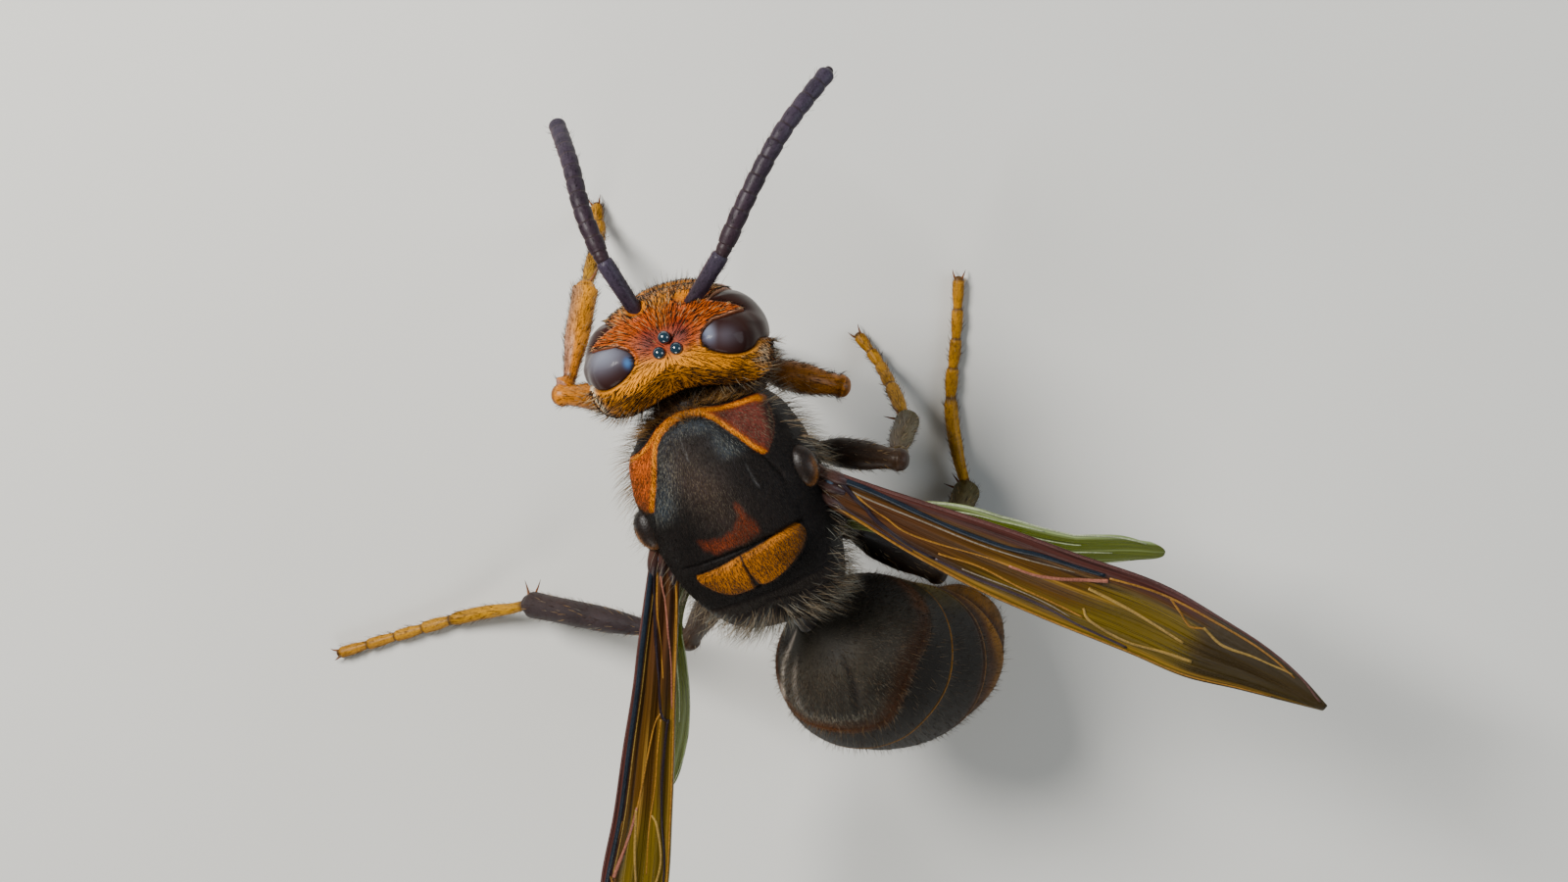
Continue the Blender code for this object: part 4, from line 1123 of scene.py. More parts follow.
def build_membrane(name, place, material, node, masks_of, fold_back, rows=150, columns=70):
    """Thin closed sheet: out along the upper layer, round the fold, and back below it."""
    u = np.linspace(0.0, 1.0, rows)[:, None]
    out = np.linspace(0, 1, columns)[None, :]
    if fold_back:
        turn = np.linspace(0, math.pi, 9)[1:-1][None, :]
        back = np.linspace(1, fold_back, columns // 2)[None, :]
        v = np.concatenate([out, 1 + 0 * turn, back], axis=1)
        drop = np.concatenate([0 * out, UNDER_GAP * (1 - np.cos(turn)) / 2, UNDER_GAP + 0 * back],
            axis=1)
    else:
        v, drop = out, 0 * out
    grid_u, grid_v = np.broadcast_arrays(u, v)
    middle = place(grid_u, grid_v, np.broadcast_to(drop, grid_u.shape))
    normals = unit(np.cross(np.gradient(middle, axis=0), np.gradient(middle, axis=1)))
    top, under = middle + normals * MEMBRANE / 2, middle - normals * MEMBRANE / 2
    loop = np.concatenate([top, under[:, ::-1]], axis=1)
    loop_u = np.concatenate([grid_u, grid_u[:, ::-1]], axis=1)
    loop_v = np.concatenate([grid_v, grid_v[:, ::-1]], axis=1)
    masks = {"along": loop_u, "across": loop_v, **masks_of(loop_u, loop_v)}
    count = loop.shape[1]
    k, j = np.meshgrid(np.arange(rows - 1), np.arange(count), indexing="ij")
    a, b = k * count + j, k * count + (j + 1) % count
    faces = np.stack([a, b, b + count, a + count], axis=-1).reshape(-1, 4).tolist()
    half = count // 2
    for base in (0, (rows - 1) * count):
        faces += [[base + j, base + j + 1, base + count - 2 - j, base + count - 1 - j]
            for j in range(half - 1)]
    return add_mesh(name, loop, material, masks, [node], faces)


def forewing_masks(u, v):
    lead = ease(0.24, 0.14, v) * ease(0.90, 0.70, u)
    cells = ease(0.46, 0.58, u) * ease(0.20, 0.30, v) * ease(0.76, 0.70, u)
    tip = ease(0.68, 0.76, u)
    base = ease(0.34, 0.15, u) * ease(0.28, 0.40, v)
    deep = (0.75 * dome(v - 0.285, 0.035) * ease(0.62, 0.5, u)
        + 0.6 * dome(v - 0.80, 0.05) * ease(0.6, 0.4, u))
    # ridge: painted highlight along one pleat crest and just inside the rear edge.
    ridge = (0.7 * dome(v - 0.46, 0.020) * ease(0.3, 0.4, u) * ease(0.62, 0.52, u)
        + 0.5 * dome(v - 0.93, 0.025))
    return {"wine": np.clip(lead + 0.5 * base, 0, 1),
            "olive": np.clip(cells + 0.55 * ease(0.62, 0.75, v) * ease(0.25, 0.35, u), 0, 1),
            "smoke": 0.9 * tip, "deep": np.clip(deep, 0, 1), "ridge": np.clip(ridge, 0, 1),
            "open": np.clip(cells + tip, 0, 1)}


def hindwing_masks(u, v):
    folds = dome(np.sin(9 * v + 2.5 * u), 0.25) * ease(0.2, 0.4, v)
    # ridge here: painted highlight along the rims and along folds that the flat hindwing doesn't
    # have.
    rim = 0.8 * ease(0.16, 0.03, v) + 0.6 * ease(0.93, 0.99, v)
    return {"ridge": np.clip(rim + 0.30 * folds * ease(0.3, 0.6, u), 0, 1),
            "smoke": 0.6 * ease(0.5, 0.2, u), "open": ease(0.02, 0.12, v) * ease(1.0, 0.93, v)}


charts = {}
for side, _ in SIDES:
    charts["fore", side] = wing_chart(*FOREWINGS[side], FOREWING_OUTLINES[side], True)
    charts["hind", side] = wing_chart(*HINDWINGS[side], HINDWING_OUTLINES[side], False)
    build_membrane("forewing_skin_" + side, charts["fore", side], amber_wing, "forewing_" + side,
                   forewing_masks, FOLD_BACK)
    build_membrane("hindwing_skin_" + side, charts["hind", side], clear_wing, "hindwing_" + side,
                   hindwing_masks, None)
print("four wing membranes")

# %% [markdown]
# Veins are hollow tubes that stiffen the membrane. On the map of the wing each is a short list
# of (along, across) places, drawn as a smooth tube that thins towards its end and lies in the
# membrane. A thick reddish bar, where the front veins meet, is the wing's weight.
# %% Wing veins
# name, look, radius at the start, radius at the end, places along and across the wing
FORE_VEINS = {
    "right": [
        ("edge", "wine", 0.050, 0.032, [(0.0, 0.05), (0.3, 0.03), (0.7, 0.02), (0.92, 0.03),
            (0.985, 0.25)]),
        ("front", "blue", 0.105, 0.075, [(0.01, 0.14), (0.07, 0.15), (0.18, 0.25), (0.26, 0.29),
            (0.33, 0.28), (0.40, 0.20), (0.52, 0.15)]),
        ("stripe", "ash", 0.030, 0.020, [(0.03, 0.33), (0.08, 0.38), (0.19, 0.37), (0.30, 0.37),
            (0.37, 0.34), (0.47, 0.25)]),
        ("upper_fork", "gold", 0.034, 0.030, [(0.06, 0.39), (0.13, 0.62), (0.17, 0.69),
            (0.22, 0.65), (0.28, 0.55), (0.32, 0.50), (0.40, 0.48)]),
        ("weight", "pink", 0.045, 0.075, [(0.36, 0.49), (0.40, 0.48), (0.43, 0.44), (0.48, 0.34),
            (0.53, 0.21)]),
        ("middle", "dark", 0.085, 0.065, [(0.03, 0.23), (0.084, 0.57), (0.14, 0.80), (0.20, 0.88),
            (0.24, 0.87)]),
        ("lower_fork", "violet", 0.060, 0.040,
            [(0.24, 0.87), (0.30, 0.86), (0.40, 0.82), (0.46, 0.84), (0.52, 0.90), (0.62, 0.95)]),
        # lower_shine is an ash tube laid as a painted highlight along the lower fork.
        ("lower_shine", "ash", 0.022, 0.018, [(0.29, 0.81), (0.34, 0.78), (0.40, 0.76),
            (0.46, 0.78), (0.50, 0.83)]),
        ("pleat", "gold", 0.032, 0.028, [(0.24, 0.76), (0.32, 0.68), (0.40, 0.72), (0.47, 0.74),
            (0.52, 0.77)]),
        ("root_two", "violet", 0.050, 0.030, [(0.02, 0.70), (0.06, 0.85), (0.12, 0.92),
            (0.20, 0.95)]),
    ],
    "left": [
        ("edge", "wine", 0.045, 0.030, [(0.0, 0.05), (0.3, 0.03), (0.7, 0.02), (0.92, 0.03),
            (0.985, 0.25)]),
        ("front", "blue", 0.085, 0.066, [(0.03, 0.12), (0.13, 0.13), (0.22, 0.13), (0.32, 0.13),
            (0.50, 0.13), (0.61, 0.12), (0.72, 0.07)]),
        ("stripe", "tan", 0.026, 0.022, [(0.04, 0.25), (0.08, 0.25), (0.17, 0.24), (0.28, 0.22),
            (0.49, 0.21), (0.61, 0.19), (0.70, 0.14)]),
        ("upper_fork", "gold", 0.034, 0.036, [(0.31, 0.70), (0.34, 0.57), (0.40, 0.50),
            (0.47, 0.44), (0.53, 0.37)]),
        ("weight", "pink", 0.045, 0.070, [(0.50, 0.40), (0.53, 0.37), (0.60, 0.27), (0.65, 0.19)]),
        ("middle", "dark", 0.060, 0.050, [(0.02, 0.18), (0.05, 0.22), (0.155, 0.45), (0.26, 0.63),
            (0.30, 0.70), (0.325, 0.86)]),
        ("lower_fork", "dark", 0.055, 0.036, [(0.32, 0.86), (0.36, 0.83), (0.445, 0.81),
            (0.53, 0.85), (0.62, 0.93), (0.75, 0.93)]),
        ("pleat", "gold", 0.030, 0.026, [(0.32, 0.72), (0.38, 0.69), (0.44, 0.69), (0.54, 0.64),
            (0.64, 0.67)]),
        ("root_one", "gold", 0.034, 0.024, [(0.03, 0.30), (0.10, 0.42), (0.16, 0.56),
            (0.24, 0.72)]),
        ("root_two", "pink", 0.045, 0.028, [(0.03, 0.40), (0.06, 0.50), (0.15, 0.78), (0.22, 0.89),
            (0.30, 0.95)]),
    ],
}
# past the weight both forewings are alike
FORE_TIP_VEINS = [
    ("rear_edge", "gold", 0.042, 0.022, [(0.0, 0.80), (0.10, 0.975), (0.3, 0.985), (0.6, 0.985),
        (0.9, 0.97)]),
    ("cell_one", "tan", 0.052, 0.046, [(0.505, 0.39), (0.58, 0.45), (0.67, 0.54), (0.705, 0.565)]),
    ("cell_two", "tan", 0.044, 0.052, [(0.515, 0.67), (0.535, 0.78), (0.61, 0.87), (0.70, 0.77),
        (0.735, 0.75)]),
    ("hook", "gold", 0.036, 0.040, [(0.645, 0.12), (0.675, 0.23), (0.705, 0.33), (0.728, 0.26)]),
    ("outer", "tan", 0.052, 0.030, [(0.725, 0.25), (0.778, 0.36), (0.852, 0.28), (0.912, 0.14)]),
    ("upper", "gold", 0.044, 0.028, [(0.53, 0.17), (0.615, 0.12), (0.69, 0.10), (0.78, 0.09),
        (0.86, 0.10), (0.92, 0.18)]),
]
HIND_VEINS = [
    ("edge", "pale", 0.042, 0.024, [(0.0, 0.04), (0.4, 0.03), (0.8, 0.03), (0.96, 0.12)]),
    ("front", "pale", 0.035, 0.022, [(0.01, 0.20), (0.3, 0.16), (0.62, 0.08)]),
    ("middle", "pale", 0.034, 0.020, [(0.01, 0.45), (0.3, 0.44), (0.6, 0.50), (0.84, 0.56)]),
    ("fork", "pale", 0.028, 0.018, [(0.3, 0.44), (0.48, 0.28), (0.74, 0.30)]),
    ("rear", "pale", 0.030, 0.018, [(0.02, 0.72), (0.3, 0.76), (0.6, 0.80)]),
    ("rim", "pale", 0.022, 0.018, [(0.25, 0.985), (0.5, 0.985), (0.8, 0.985), (0.93, 0.90)]),
]


def build_veins(pair, side, veins):
    by_look = {}
    for _, look, thick, thin, way in veins:
        u, v = resample(way, 46).T
        centres = charts[pair, side](u, v, np.full(u.shape, -0.015))
        tube = tube_grid(centres, np.linspace(thick, thin, len(u)), 10)
        by_look.setdefault(look, []).append(tube)
    for look, tubes in by_look.items():
        points, faces = joined(tubes)
        add_mesh("veins_%s_%s_%s" % (pair, look, side), points, vein_looks[look], faces=faces)
    return len(veins)


drawn = 0
for side, _ in SIDES:
    drawn += build_veins("fore", side, FORE_VEINS[side] + FORE_TIP_VEINS)
    drawn += build_veins("hind", side, HIND_VEINS)
print(drawn, "veins")

# %% [markdown]
# Legs and feelers are rows of short tubes with narrow joints between. A feeler has a long
# stalk, a short knuckle and a whip of beads, each a little wider at its far end. A leg has
# a hip, a thick thigh, a shin with spurs, and a foot of five joints that ends in two claws.
# %% Limb materials
JOINT_COLOUR = (0.02, 0.010, 0.008)


def limb_material(name, root, tip, under=None, under_share=0.0, rough=0.4, bump=0.3):
    """Shell of a limb: one colour at its root, one at its tip, and one on the side its under mask
    picks: the under side, or on the shins a painted sheen on the upper outer side.
    """
    material, tree, shader = new_material(name)
    surface = use_group(tree, grain, Size=0.05, Mottle=0.8)
    colour = mixed(tree, mask_of(tree, "along"), root, tip)
    if under:
        share = reckoned(tree, "MULTIPLY", mask_of(tree, "under"), under_share)
        colour = mixed(tree, share, colour, under)
    share = reckoned(tree, "MULTIPLY", mask_of(tree, "joint"), 0.8)
    colour = mixed(tree, share, colour, JOINT_COLOUR)
    colour = toned(tree, colour, surface["Tone"], 0.6, 1.3)
    dress(tree, shader, colour, surface["Height"], bump, Roughness=rough, Specular_IOR_Level=0.22,
          Coat_Weight=0.04, Coat_Roughness=0.25)
    return material


PLUM = (0.020, 0.009, 0.014)
YELLOW = (0.37, 0.175, 0.0005)
limb_looks = {
    # The feelers turn bluish towards the tip as a painted sheen; their orange under side is their
    # own colour.
    "feeler": limb_material("feeler_shell", PLUM, (0.032, 0.024, 0.042), (0.22, 0.040, 0.008), 0.75,
        rough=0.52),
    "hip": limb_material("hip_shell", (0.007, 0.006, 0.006), (0.010, 0.007, 0.006)),
    "thigh_fore": limb_material("fore_thigh_shell", (0.016, 0.008, 0.004), (0.50, 0.16, 0.002),
        (0.40, 0.13, 0.004), 0.4),
    "thigh": limb_material("thigh_shell", (0.005, 0.004, 0.004), (0.040, 0.020, 0.009), rough=0.48),
    # On the shins the under mask faces up and outward, so their third colour is a painted sheen,
    # grey-violet on the fore shins.
    "shin_fore": limb_material("fore_shin_shell", (0.54, 0.165, 0.002), (0.56, 0.22, 0.004),
        (0.200, 0.140, 0.140), 0.65),
    "shin": limb_material("shin_shell", (0.075, 0.042, 0.012), (0.055, 0.042, 0.007),
        (0.075, 0.062, 0.014), 0.5, rough=0.5),
    # A darker copy of the shin shell, as painted shade on the left hind shin.
    "shin_painted_shade": limb_material("shin_painted_shade_shell", (0.013, 0.006, 0.008), (0.026, 0.015, 0.014),
        (0.030, 0.023, 0.025), 0.5, rough=0.55),
    # The feet are darker underneath as painted shade.
    "foot": limb_material("foot_shell", YELLOW, (0.35, 0.150, 0.001), (0.23, 0.10, 0.002), 0.4,
        rough=0.55),
    "jaw": limb_material("jaw_shell", (0.26, 0.040, 0.004), (0.012, 0.006, 0.004), rough=0.3),
    "claw": limb_material("claw_shell", (0.24, 0.080, 0.012), (0.06, 0.018, 0.008), rough=0.35),
    "scale": limb_material("scale_shell", (0.010, 0.007, 0.006), (0.20, 0.070, 0.006), rough=0.38,
        bump=0.6),
    "root": limb_material("wing_root_shell", (0.070, 0.026, 0.010), (0.026, 0.016, 0.020),
        (0.20, 0.075, 0.008), 0.4, rough=0.4),
    "bead": limb_material("wing_bead_shell", (0.060, 0.085, 0.120), (0.060, 0.085, 0.120),
        rough=0.15),
}
print(len(limb_looks), "limb materials")


# %% [markdown]
# Every piece of a leg or feeler is a tapered tube along the middle of its solid, closed at both
# ends. A profile swells it where the muscle sits and narrows it at the joint. Small segments
# come from a row of swellings in one tube, as they sit close together in life.
# %% Limb pieces
CAP_RINGS = 6


def reached(centres, start, more):
    """A middle line with its first point at start and one more beyond its last, on its way."""
    ahead = unit(centres[-1] - centres[-2])
    length = np.linalg.norm(centres[-1] - centres[0])
    return np.concatenate([[start], centres, [centres[-1] + ahead * (0.125 * length + more)]])


def segment_profile(shares, count, waist=0.74, tail=0.10):
    """Width of a limb of like beads: narrow at each joint and widest near each bead's far end."""
    place = (shares * count) % 1.0
    swell = waist + (1.06 - waist) * ease(0.0, 0.55, place)
    pinch = 1 - (1.06 - waist) * 0.9 * ease(0.90, 1.0, place) * (shares < 0.999)
    joints = np.clip(dome(place, 0.05) + dome(place - 1, 0.05), 0, 1)
    return swell * pinch * (1 - tail * shares), joints


def limb_masks(grid, along=0.0, under=0.0, joint=0.0):
    """The three masks of the limb materials, each as wide as the grid."""
    masks = {"along": along, "under": under, "joint": joint}
    return {mask: np.broadcast_to(values, grid.shape[:2]) for mask, values in masks.items()}


def build_limb(name, nodes, look, centres, radii, columns=28, joints=0.0, on_floor=False,
               below=(0, 0, -1), reach=(-0.1, 0.9)):
    """One limb piece on a middle line, with masks along it, below it and at its joints."""
    centres, radii = np.asarray(centres), np.asarray(radii)
    rings = tube_grid(centres, radii, columns)
    caps = []
    for end, inner in ((0, 1), (-1, -2)):
        away = unit(centres[end] - centres[inner])
        caps.append([centres[end] + (rings[end] - centres[end]) * math.cos(t)
                     + away * radii[end] * 0.7 * math.sin(t)
                     for t in np.linspace(0.2, 1.45, CAP_RINGS)])
    rings = np.concatenate([caps[0][::-1], rings, caps[1]])
    if on_floor:
        rings[..., 2] = np.maximum(rings[..., 2], 0.0)
    normals = grid_normals(rings)
    shares = np.pad(np.linspace(0, 1, len(centres)), CAP_RINGS, "edge")
    joints = np.pad(joints + 0 * radii, CAP_RINGS, "edge")
    under = ease(*reach, normals @ unit(np.array(below, float)))
    masks = limb_masks(rings, shares[:, None], under, joints[:, None])
    add_mesh(name, rings, limb_looks[look], masks, nodes)
    return {"points": rings, "normals": normals, "name": name}


limbs = []
FEELER_BEADS = 11
KNUCKLE = 0.045                         # share of the whip that its first short joint takes
FEELERS = {
    "left": [(0.06, -4.98, 12.70), (0.30, -7.62, 13.29), (0.36, -8.95, 12.85),
        (0.36, -10.50, 11.60), (0.66, -11.65, 9.70)],
    "right": [(-1.02, -4.95, 12.80), (-3.13, -6.39, 13.30), (-4.35, -7.50, 13.05),
        (-6.10, -8.90, 12.40), (-8.00, -9.95, 11.00)],
}
BELOW = (0.3, 0.1, -1.0)


def feeler_pieces(side):
    points = np.array(FEELERS[side])
    stalk = resample(points[:2], 60)
    shares = np.linspace(0, 1, len(stalk))
    wide = 0.25 * (0.62 + 0.38 * ease(0.02, 0.10, shares)) * (0.95 + 0.12 * ease(0.3, 0.9, shares))
    wide = wide * (1 - 0.30 * ease(0.955, 1.0, shares))
    limbs.append(build_limb("scape_" + side, ["antenna_scape_" + side], "feeler", stalk, wide,
                            joints=dome(shares - 0.04, 0.03), below=BELOW, reach=(-0.5, 0.5)))
    whip = resample(points[1:], 320)
    shares = np.linspace(0, 1, len(whip))
    beads = np.clip((shares - KNUCKLE) / (1 - KNUCKLE), 0, 1)
    profile, joints = segment_profile(beads, FEELER_BEADS, waist=0.96, tail=0.06)
    first = 0.78 + 0.10 * dome(shares - 0.6 * KNUCKLE, 0.4 * KNUCKLE)
    profile = (np.where(shares < KNUCKLE, first, profile)
        * (1 - 0.45 * ease(0.965, 1.0, shares) ** 2))
    joints = np.where(shares < KNUCKLE, 0.3, 0.8 * joints)
    limbs.append(build_limb("whip_" + side, ["antenna_flagellum_" + side], "feeler", whip,
                            0.272 * profile, joints=joints, below=BELOW, reach=(-0.45, 0.6)))


for side, _ in SIDES:
    feeler_pieces(side)
print("feelers:", [limb["name"] for limb in limbs])

# %% [markdown]
# A leg has a hip, a thigh, a shin and a foot of five segments. Thigh and shin widen towards the
# knee or ankle and the foot gets thinner to its end. The fore pair is orange, the others are black
# and olive, and all the feet are yellow. The left hind shin is painted darker as shade, the shins
# carry a painted sheen on their upper outer side, and the feet a painted shade underneath.
# %% Legs
HIP_STARTS = {"fore": (0.95, -1.3, 9.6), "mid": (1.25, 0.75, 9.2), "hind": (1.25, 3.1, 9.3)}
FOOT_SEGMENTS = 5
LONG_SEGMENT = 0.42                     # share of the foot that its first segment takes
# which way each spur of a shin points, and its length
FORE_SPURS = [((-0.9, -0.40, -0.1), 0.55)]
SPURS = [((-0.9, -0.40, -0.1), 0.72), ((-0.5, -0.80, -0.1), 0.60)]
claws, spurs = [], []


def leg_pieces(pair, side, sign):
    key = pair + "_" + side
    hip = centre_line("coxa_" + key, 8, np.array(HIP_STARTS[pair]) * (sign, 1, 1))
    way = resample(reached(hip, hip[0] * 1.3 - hip[-1] * 0.3, 0.0), 30)
    shares = np.linspace(0, 1, len(way))
    limbs.append(build_limb("hip_" + key, ["coxa_" + key], "hip", way,
        0.66 - 0.24 * ease(0.35, 1.0, shares)))

    thigh = centre_line("femur_" + key, 12, hip[-1])
    way = resample(reached(thigh, way[-1] * 0.6 + thigh[0] * 0.4, 0.05), 90)
    shares = np.linspace(0, 1, len(way))
    swell = (0.29 + 0.19 * ease(0.10, 0.38, shares) - 0.15 * ease(0.55, 0.92, shares)
        + 0.05 * dome(shares - 0.97, 0.03))
    pinch = 1 - 0.30 * dome(shares - 0.11, 0.025)
    look = "thigh_fore" if pair == "fore" else "thigh"
    limbs.append(build_limb("thigh_" + key, ["femur_" + key], look, way, swell * pinch,
                            joints=dome(shares - 0.11, 0.02) + 0.7 * ease(0.985, 1.0, shares)))

    shin = centre_line("tibia_" + key, 12, thigh[-1])
    way = resample(reached(shin, way[-1] * 0.6 + shin[0] * 0.4, 0.0), 90)
    shares = np.linspace(0, 1, len(way))
    thick = {"fore": 0.40, "mid": 0.38, "hind": 0.43}[pair]
    swell = (thick * (0.58 + 0.42 * ease(0.12, 0.55, shares) + 0.05 * ease(0.85, 0.97, shares))
        * (1 - 0.25 * ease(0.975, 1, shares)))
    swell += thick * (0.32 * dome(shares - 0.035, 0.035) - 0.06 * dome(shares - 0.10, 0.025))
    # The left hind shin takes the darker copy, as painted shade.
    look = "shin_fore" if pair == "fore" else "shin_painted_shade" if key == "hind_left" else "shin"
    # Shins take their painted sheen on the side facing up and outward.
    limbs.append(build_limb("shin_" + key, ["tibia_" + key], look, way, swell,
                            joints=0.7 * dome(shares - 0.10, 0.018),
                            below=(sign * 0.6, 0, 0.6), reach=(0.3, 0.9)))

    foot = centre_line("tarsus_" + key, 18, shin[-1])
    foot = resample(reached(foot, way[-1] * 0.7 + foot[0] * 0.3, 0.0), 220)
    foot[:, 2] = np.maximum(foot[:, 2], 0.16)
    steps = np.linspace(0, 1, len(foot))
    beads = np.interp(steps, (0, LONG_SEGMENT, 1), (0, 1 / FOOT_SEGMENTS, 1))
    profile, joints = segment_profile(beads, FOOT_SEGMENTS, waist=0.80, tail=0.0)
    slim = 1 - 0.16 * ease(0.3, 0.8, steps)
    limbs.append(build_limb("foot_" + key, ["tarsus_" + key], "foot", foot, 0.215 * profile * slim,
        joints=joints, on_floor=True))

    ahead = unit(unit(foot[-1] - foot[-12]) * (1, 1, 0) + (1e-6, 0, 0))
    across = np.array([-ahead[1], ahead[0], 0])
    for out in (1, -1):
        base = foot[-1] + across * out * 0.06
        claws.append([base - ahead * 0.1, base + ahead * 0.14 + across * out * 0.10 + (0, 0, 0.03),
                      base + ahead * 0.30 + across * out * 0.16 + (0, 0, -0.12)])
    ahead = unit(way[-1] - way[-8])
    for turn, length in FORE_SPURS if pair == "fore" else SPURS:
        aside = unit(np.array(turn) * (sign, 1, 1) + ahead * 0.35)
        base = way[-1] - ahead * 0.02 + aside * 0.20
        spurs.append([base - aside * 0.12, base + aside * length * 0.5 + ahead * 0.02,
            base + aside * length + ahead * 0.10])


for pair in HIP_STARTS:
    for side, sign in SIDES:
        leg_pieces(pair, side, sign)
print(len(limbs), "limb pieces")


# %% [markdown]
# Each foot ends in two small hooked claws that grip bark, and the shins carry stiff spurs that
# comb the feelers clean. They are thin curved cones, too fine for the solids.
# %% Claws and spurs
def build_spikes(name, ways, thick):
    """Thin cones, each bent along its way and thinning to its point."""
    shares = np.linspace(0, 1, 14)
    cones = [tube_grid(resample(way, 14), thick * (1 - 0.93 * shares), 10) for way in ways]
    points, faces = joined(cones)
    points[:, 2] = np.maximum(points[:, 2], 0.0)
    masks = {"along": np.tile(np.repeat(shares, 10), len(ways)), "under": 0 * points[:, 0],
             "joint": 0 * points[:, 0]}
    add_mesh(name, points, limb_looks["claw"], masks, faces=faces)


build_spikes("claws", claws, 0.055)
build_spikes("spurs", spurs, 0.072)
print(len(claws), "claws and", len(spurs), "spurs")

# %% [markdown]
# Small parts of the body: the jaws under the face, the mouth between them, the neck and the
# waist. The jaws are thick, bent and dark at the biting edge. Most are hidden from above, so
# they follow their solids closely.
# %% Jaws, mouth, neck and waist
JAW = [(1.42, -0.85, -1.75), (1.26, -1.14, -2.65), (0.84, -1.30, -3.18), (0.28, -1.34, -3.50)]
MOUTH = [(0.0, -0.40, -2.20), (0.0, -0.50, -3.00), (0.0, -0.58, -3.38)]
NECK = [(-0.36, -3.45, 11.55), (-0.2, -2.9, 11.55), (0.0, -2.15, 11.65)]
WAIST = [(0.0, 5.15, 9.95), (0.0, 5.6, 9.80), (-0.02, 6.05, 9.50), (-0.1, 6.4, 9.2)]
for side, sign in SIDES:
    shares = np.linspace(0, 1, 60)
    teeth = 0.05 * np.abs(np.sin(shares * 22)) * ease(0.55, 0.7, shares) * ease(1.0, 0.9, shares)
    build_limb("jaw_" + side, ["mandible_" + side], "jaw",
               on_head(resample(np.array(JAW) * (sign, 1, 1), 60)),
               0.52 - 0.36 * ease(0.45, 1.0, shares) + teeth)
build_limb("mouth", ["mouthparts"], "jaw", on_head(resample(MOUTH, 30)),
           0.46 - 0.20 * np.linspace(0, 1, 30))
neck_grid = build_limb("neck_skin", ["neck"], "hip", resample(NECK, 24),
                       0.70 + 0.42 * ease(0.2, 0.9, np.linspace(0, 1, 24)), columns=60)
build_limb("waist", ["petiole"], "hip", resample(WAIST, 30),
           0.36 + 0.10 * np.abs(np.linspace(-1, 1, 30)))
print("jaws, mouth, neck and waist done")

# %% [markdown]
# A small round scale covers each wing root. From under it come three hard folds of the forewing
# with a blue-grey bead between them, and one root piece of the hindwing. They start at the
# body and end on the chart of the wing, so that no gap shows where the wing begins.
# %% Wing scales and roots
SCALE_HALF = (0.46, 0.68, 0.44)
SCALE_PLACE = (2.36, 0.58, 13.0)
# start and end along the forewing, start and end across it, thickness
ROOT_FOLDS = [((-0.035, 0.05), (0.10, 0.16), 0.24), ((-0.040, 0.045), (0.42, 0.46), 0.22),
              ((-0.030, 0.06), (0.76, 0.84), 0.20)]


def build_scale(side, sign):
    low, high = (np.array(corner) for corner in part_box("tegula_" + side))
    middle = ((low + high) / 2 - ORIGIN) / MM * (0.35, 0.5, 0.5)
    middle = middle + np.array(SCALE_PLACE) * (sign, 1, 1) * (0.65, 0.5, 0.5)
    ball = ball_grid(middle, SCALE_HALF, 40, 48)
    across, along, height = np.moveaxis((ball - middle) / SCALE_HALF, -1, 0)
    around = np.arctan2(along, sign * across)
    rim = 0.9 * dome(height - 0.45, 0.22) * ease(-0.6, 0.1, around) * ease(2.4, 1.8, around)
    add_mesh("wing_scale_" + side, ball, limb_looks["scale"], limb_masks(ball, rim),
             ["tegula_" + side])
    return ball


def build_roots(side, sign):
    place, shares = charts["fore", side], np.linspace(0, 1, 24)
    for k, (along, across, thick) in enumerate(ROOT_FOLDS):
        start, end = place(along, across, (0.10, 0.04))
        start = start * 0.75 + np.array((sign * 2.45, 1.0 + 0.35 * k, 12.6)) * 0.25
        way = resample([start, (start + end) / 2 + (0, 0, 0.05), end], 24)
        build_limb("wing_root_%d_%s" % (k + 1, side), [], "root", way,
                   thick * (1 - 0.45 * shares + 0.12 * np.cos(9 * shares)))
    bead = ball_grid(place([0.012], [0.30], [-0.02])[0], (0.15, 0.24, 0.12), 16, 20)
    add_mesh("wing_bead_" + side, bead, limb_looks["bead"], limb_masks(bead))
    root = np.array(HINDWINGS[side][0])
    ends = root + (-sign * 0.35, -0.35, 0.05), root + (sign * 0.25, 0.55, -0.05)
    build_limb("hind_root_" + side, [], "root", resample([ends[0], root, ends[1]], 24),
               0.20 + 0.04 * np.cos(9 * shares))


scale_balls = {}
for side, sign in SIDES:
    scale_balls[side] = build_scale(side, sign)
    build_roots(side, sign)
print(len(scale_balls), "wing scales,", 2 * len(ROOT_FOLDS), "hard folds")

# %% [markdown]
# The coat. A hornet's hairs are single and short on the head, felt-like on the back shield, and
# long and pale on the sides of the thorax and at the rear. Particle hair would be quick but is
# lost in the export, so each hair is a thin three-sided spike of its own, curved over towards
# the lie of the coat. Each carries the tone of its place and a small patch on the unwrap of
# the shell it grows from.
# %% The coat's tools
def hair_material():
    material, tree, shader = new_material("hair")
    warmth = mask_of(tree, "warmth")
    dark = mixed(tree, warmth, (0.005, 0.004, 0.004), (0.090, 0.028, 0.005))
    pale = mixed(tree, warmth, (0.30, 0.32, 0.28), (0.72, 0.38, 0.07))
    colour = mixed(tree, mask_of(tree, "pale"), dark, pale)
    dress(tree, shader, colour, Roughness=0.5, Specular_IOR_Level=0.12)
    return material


hair_look = hair_material()
PATCH = 0.0015                          # size of a hair's patch on the unwrap


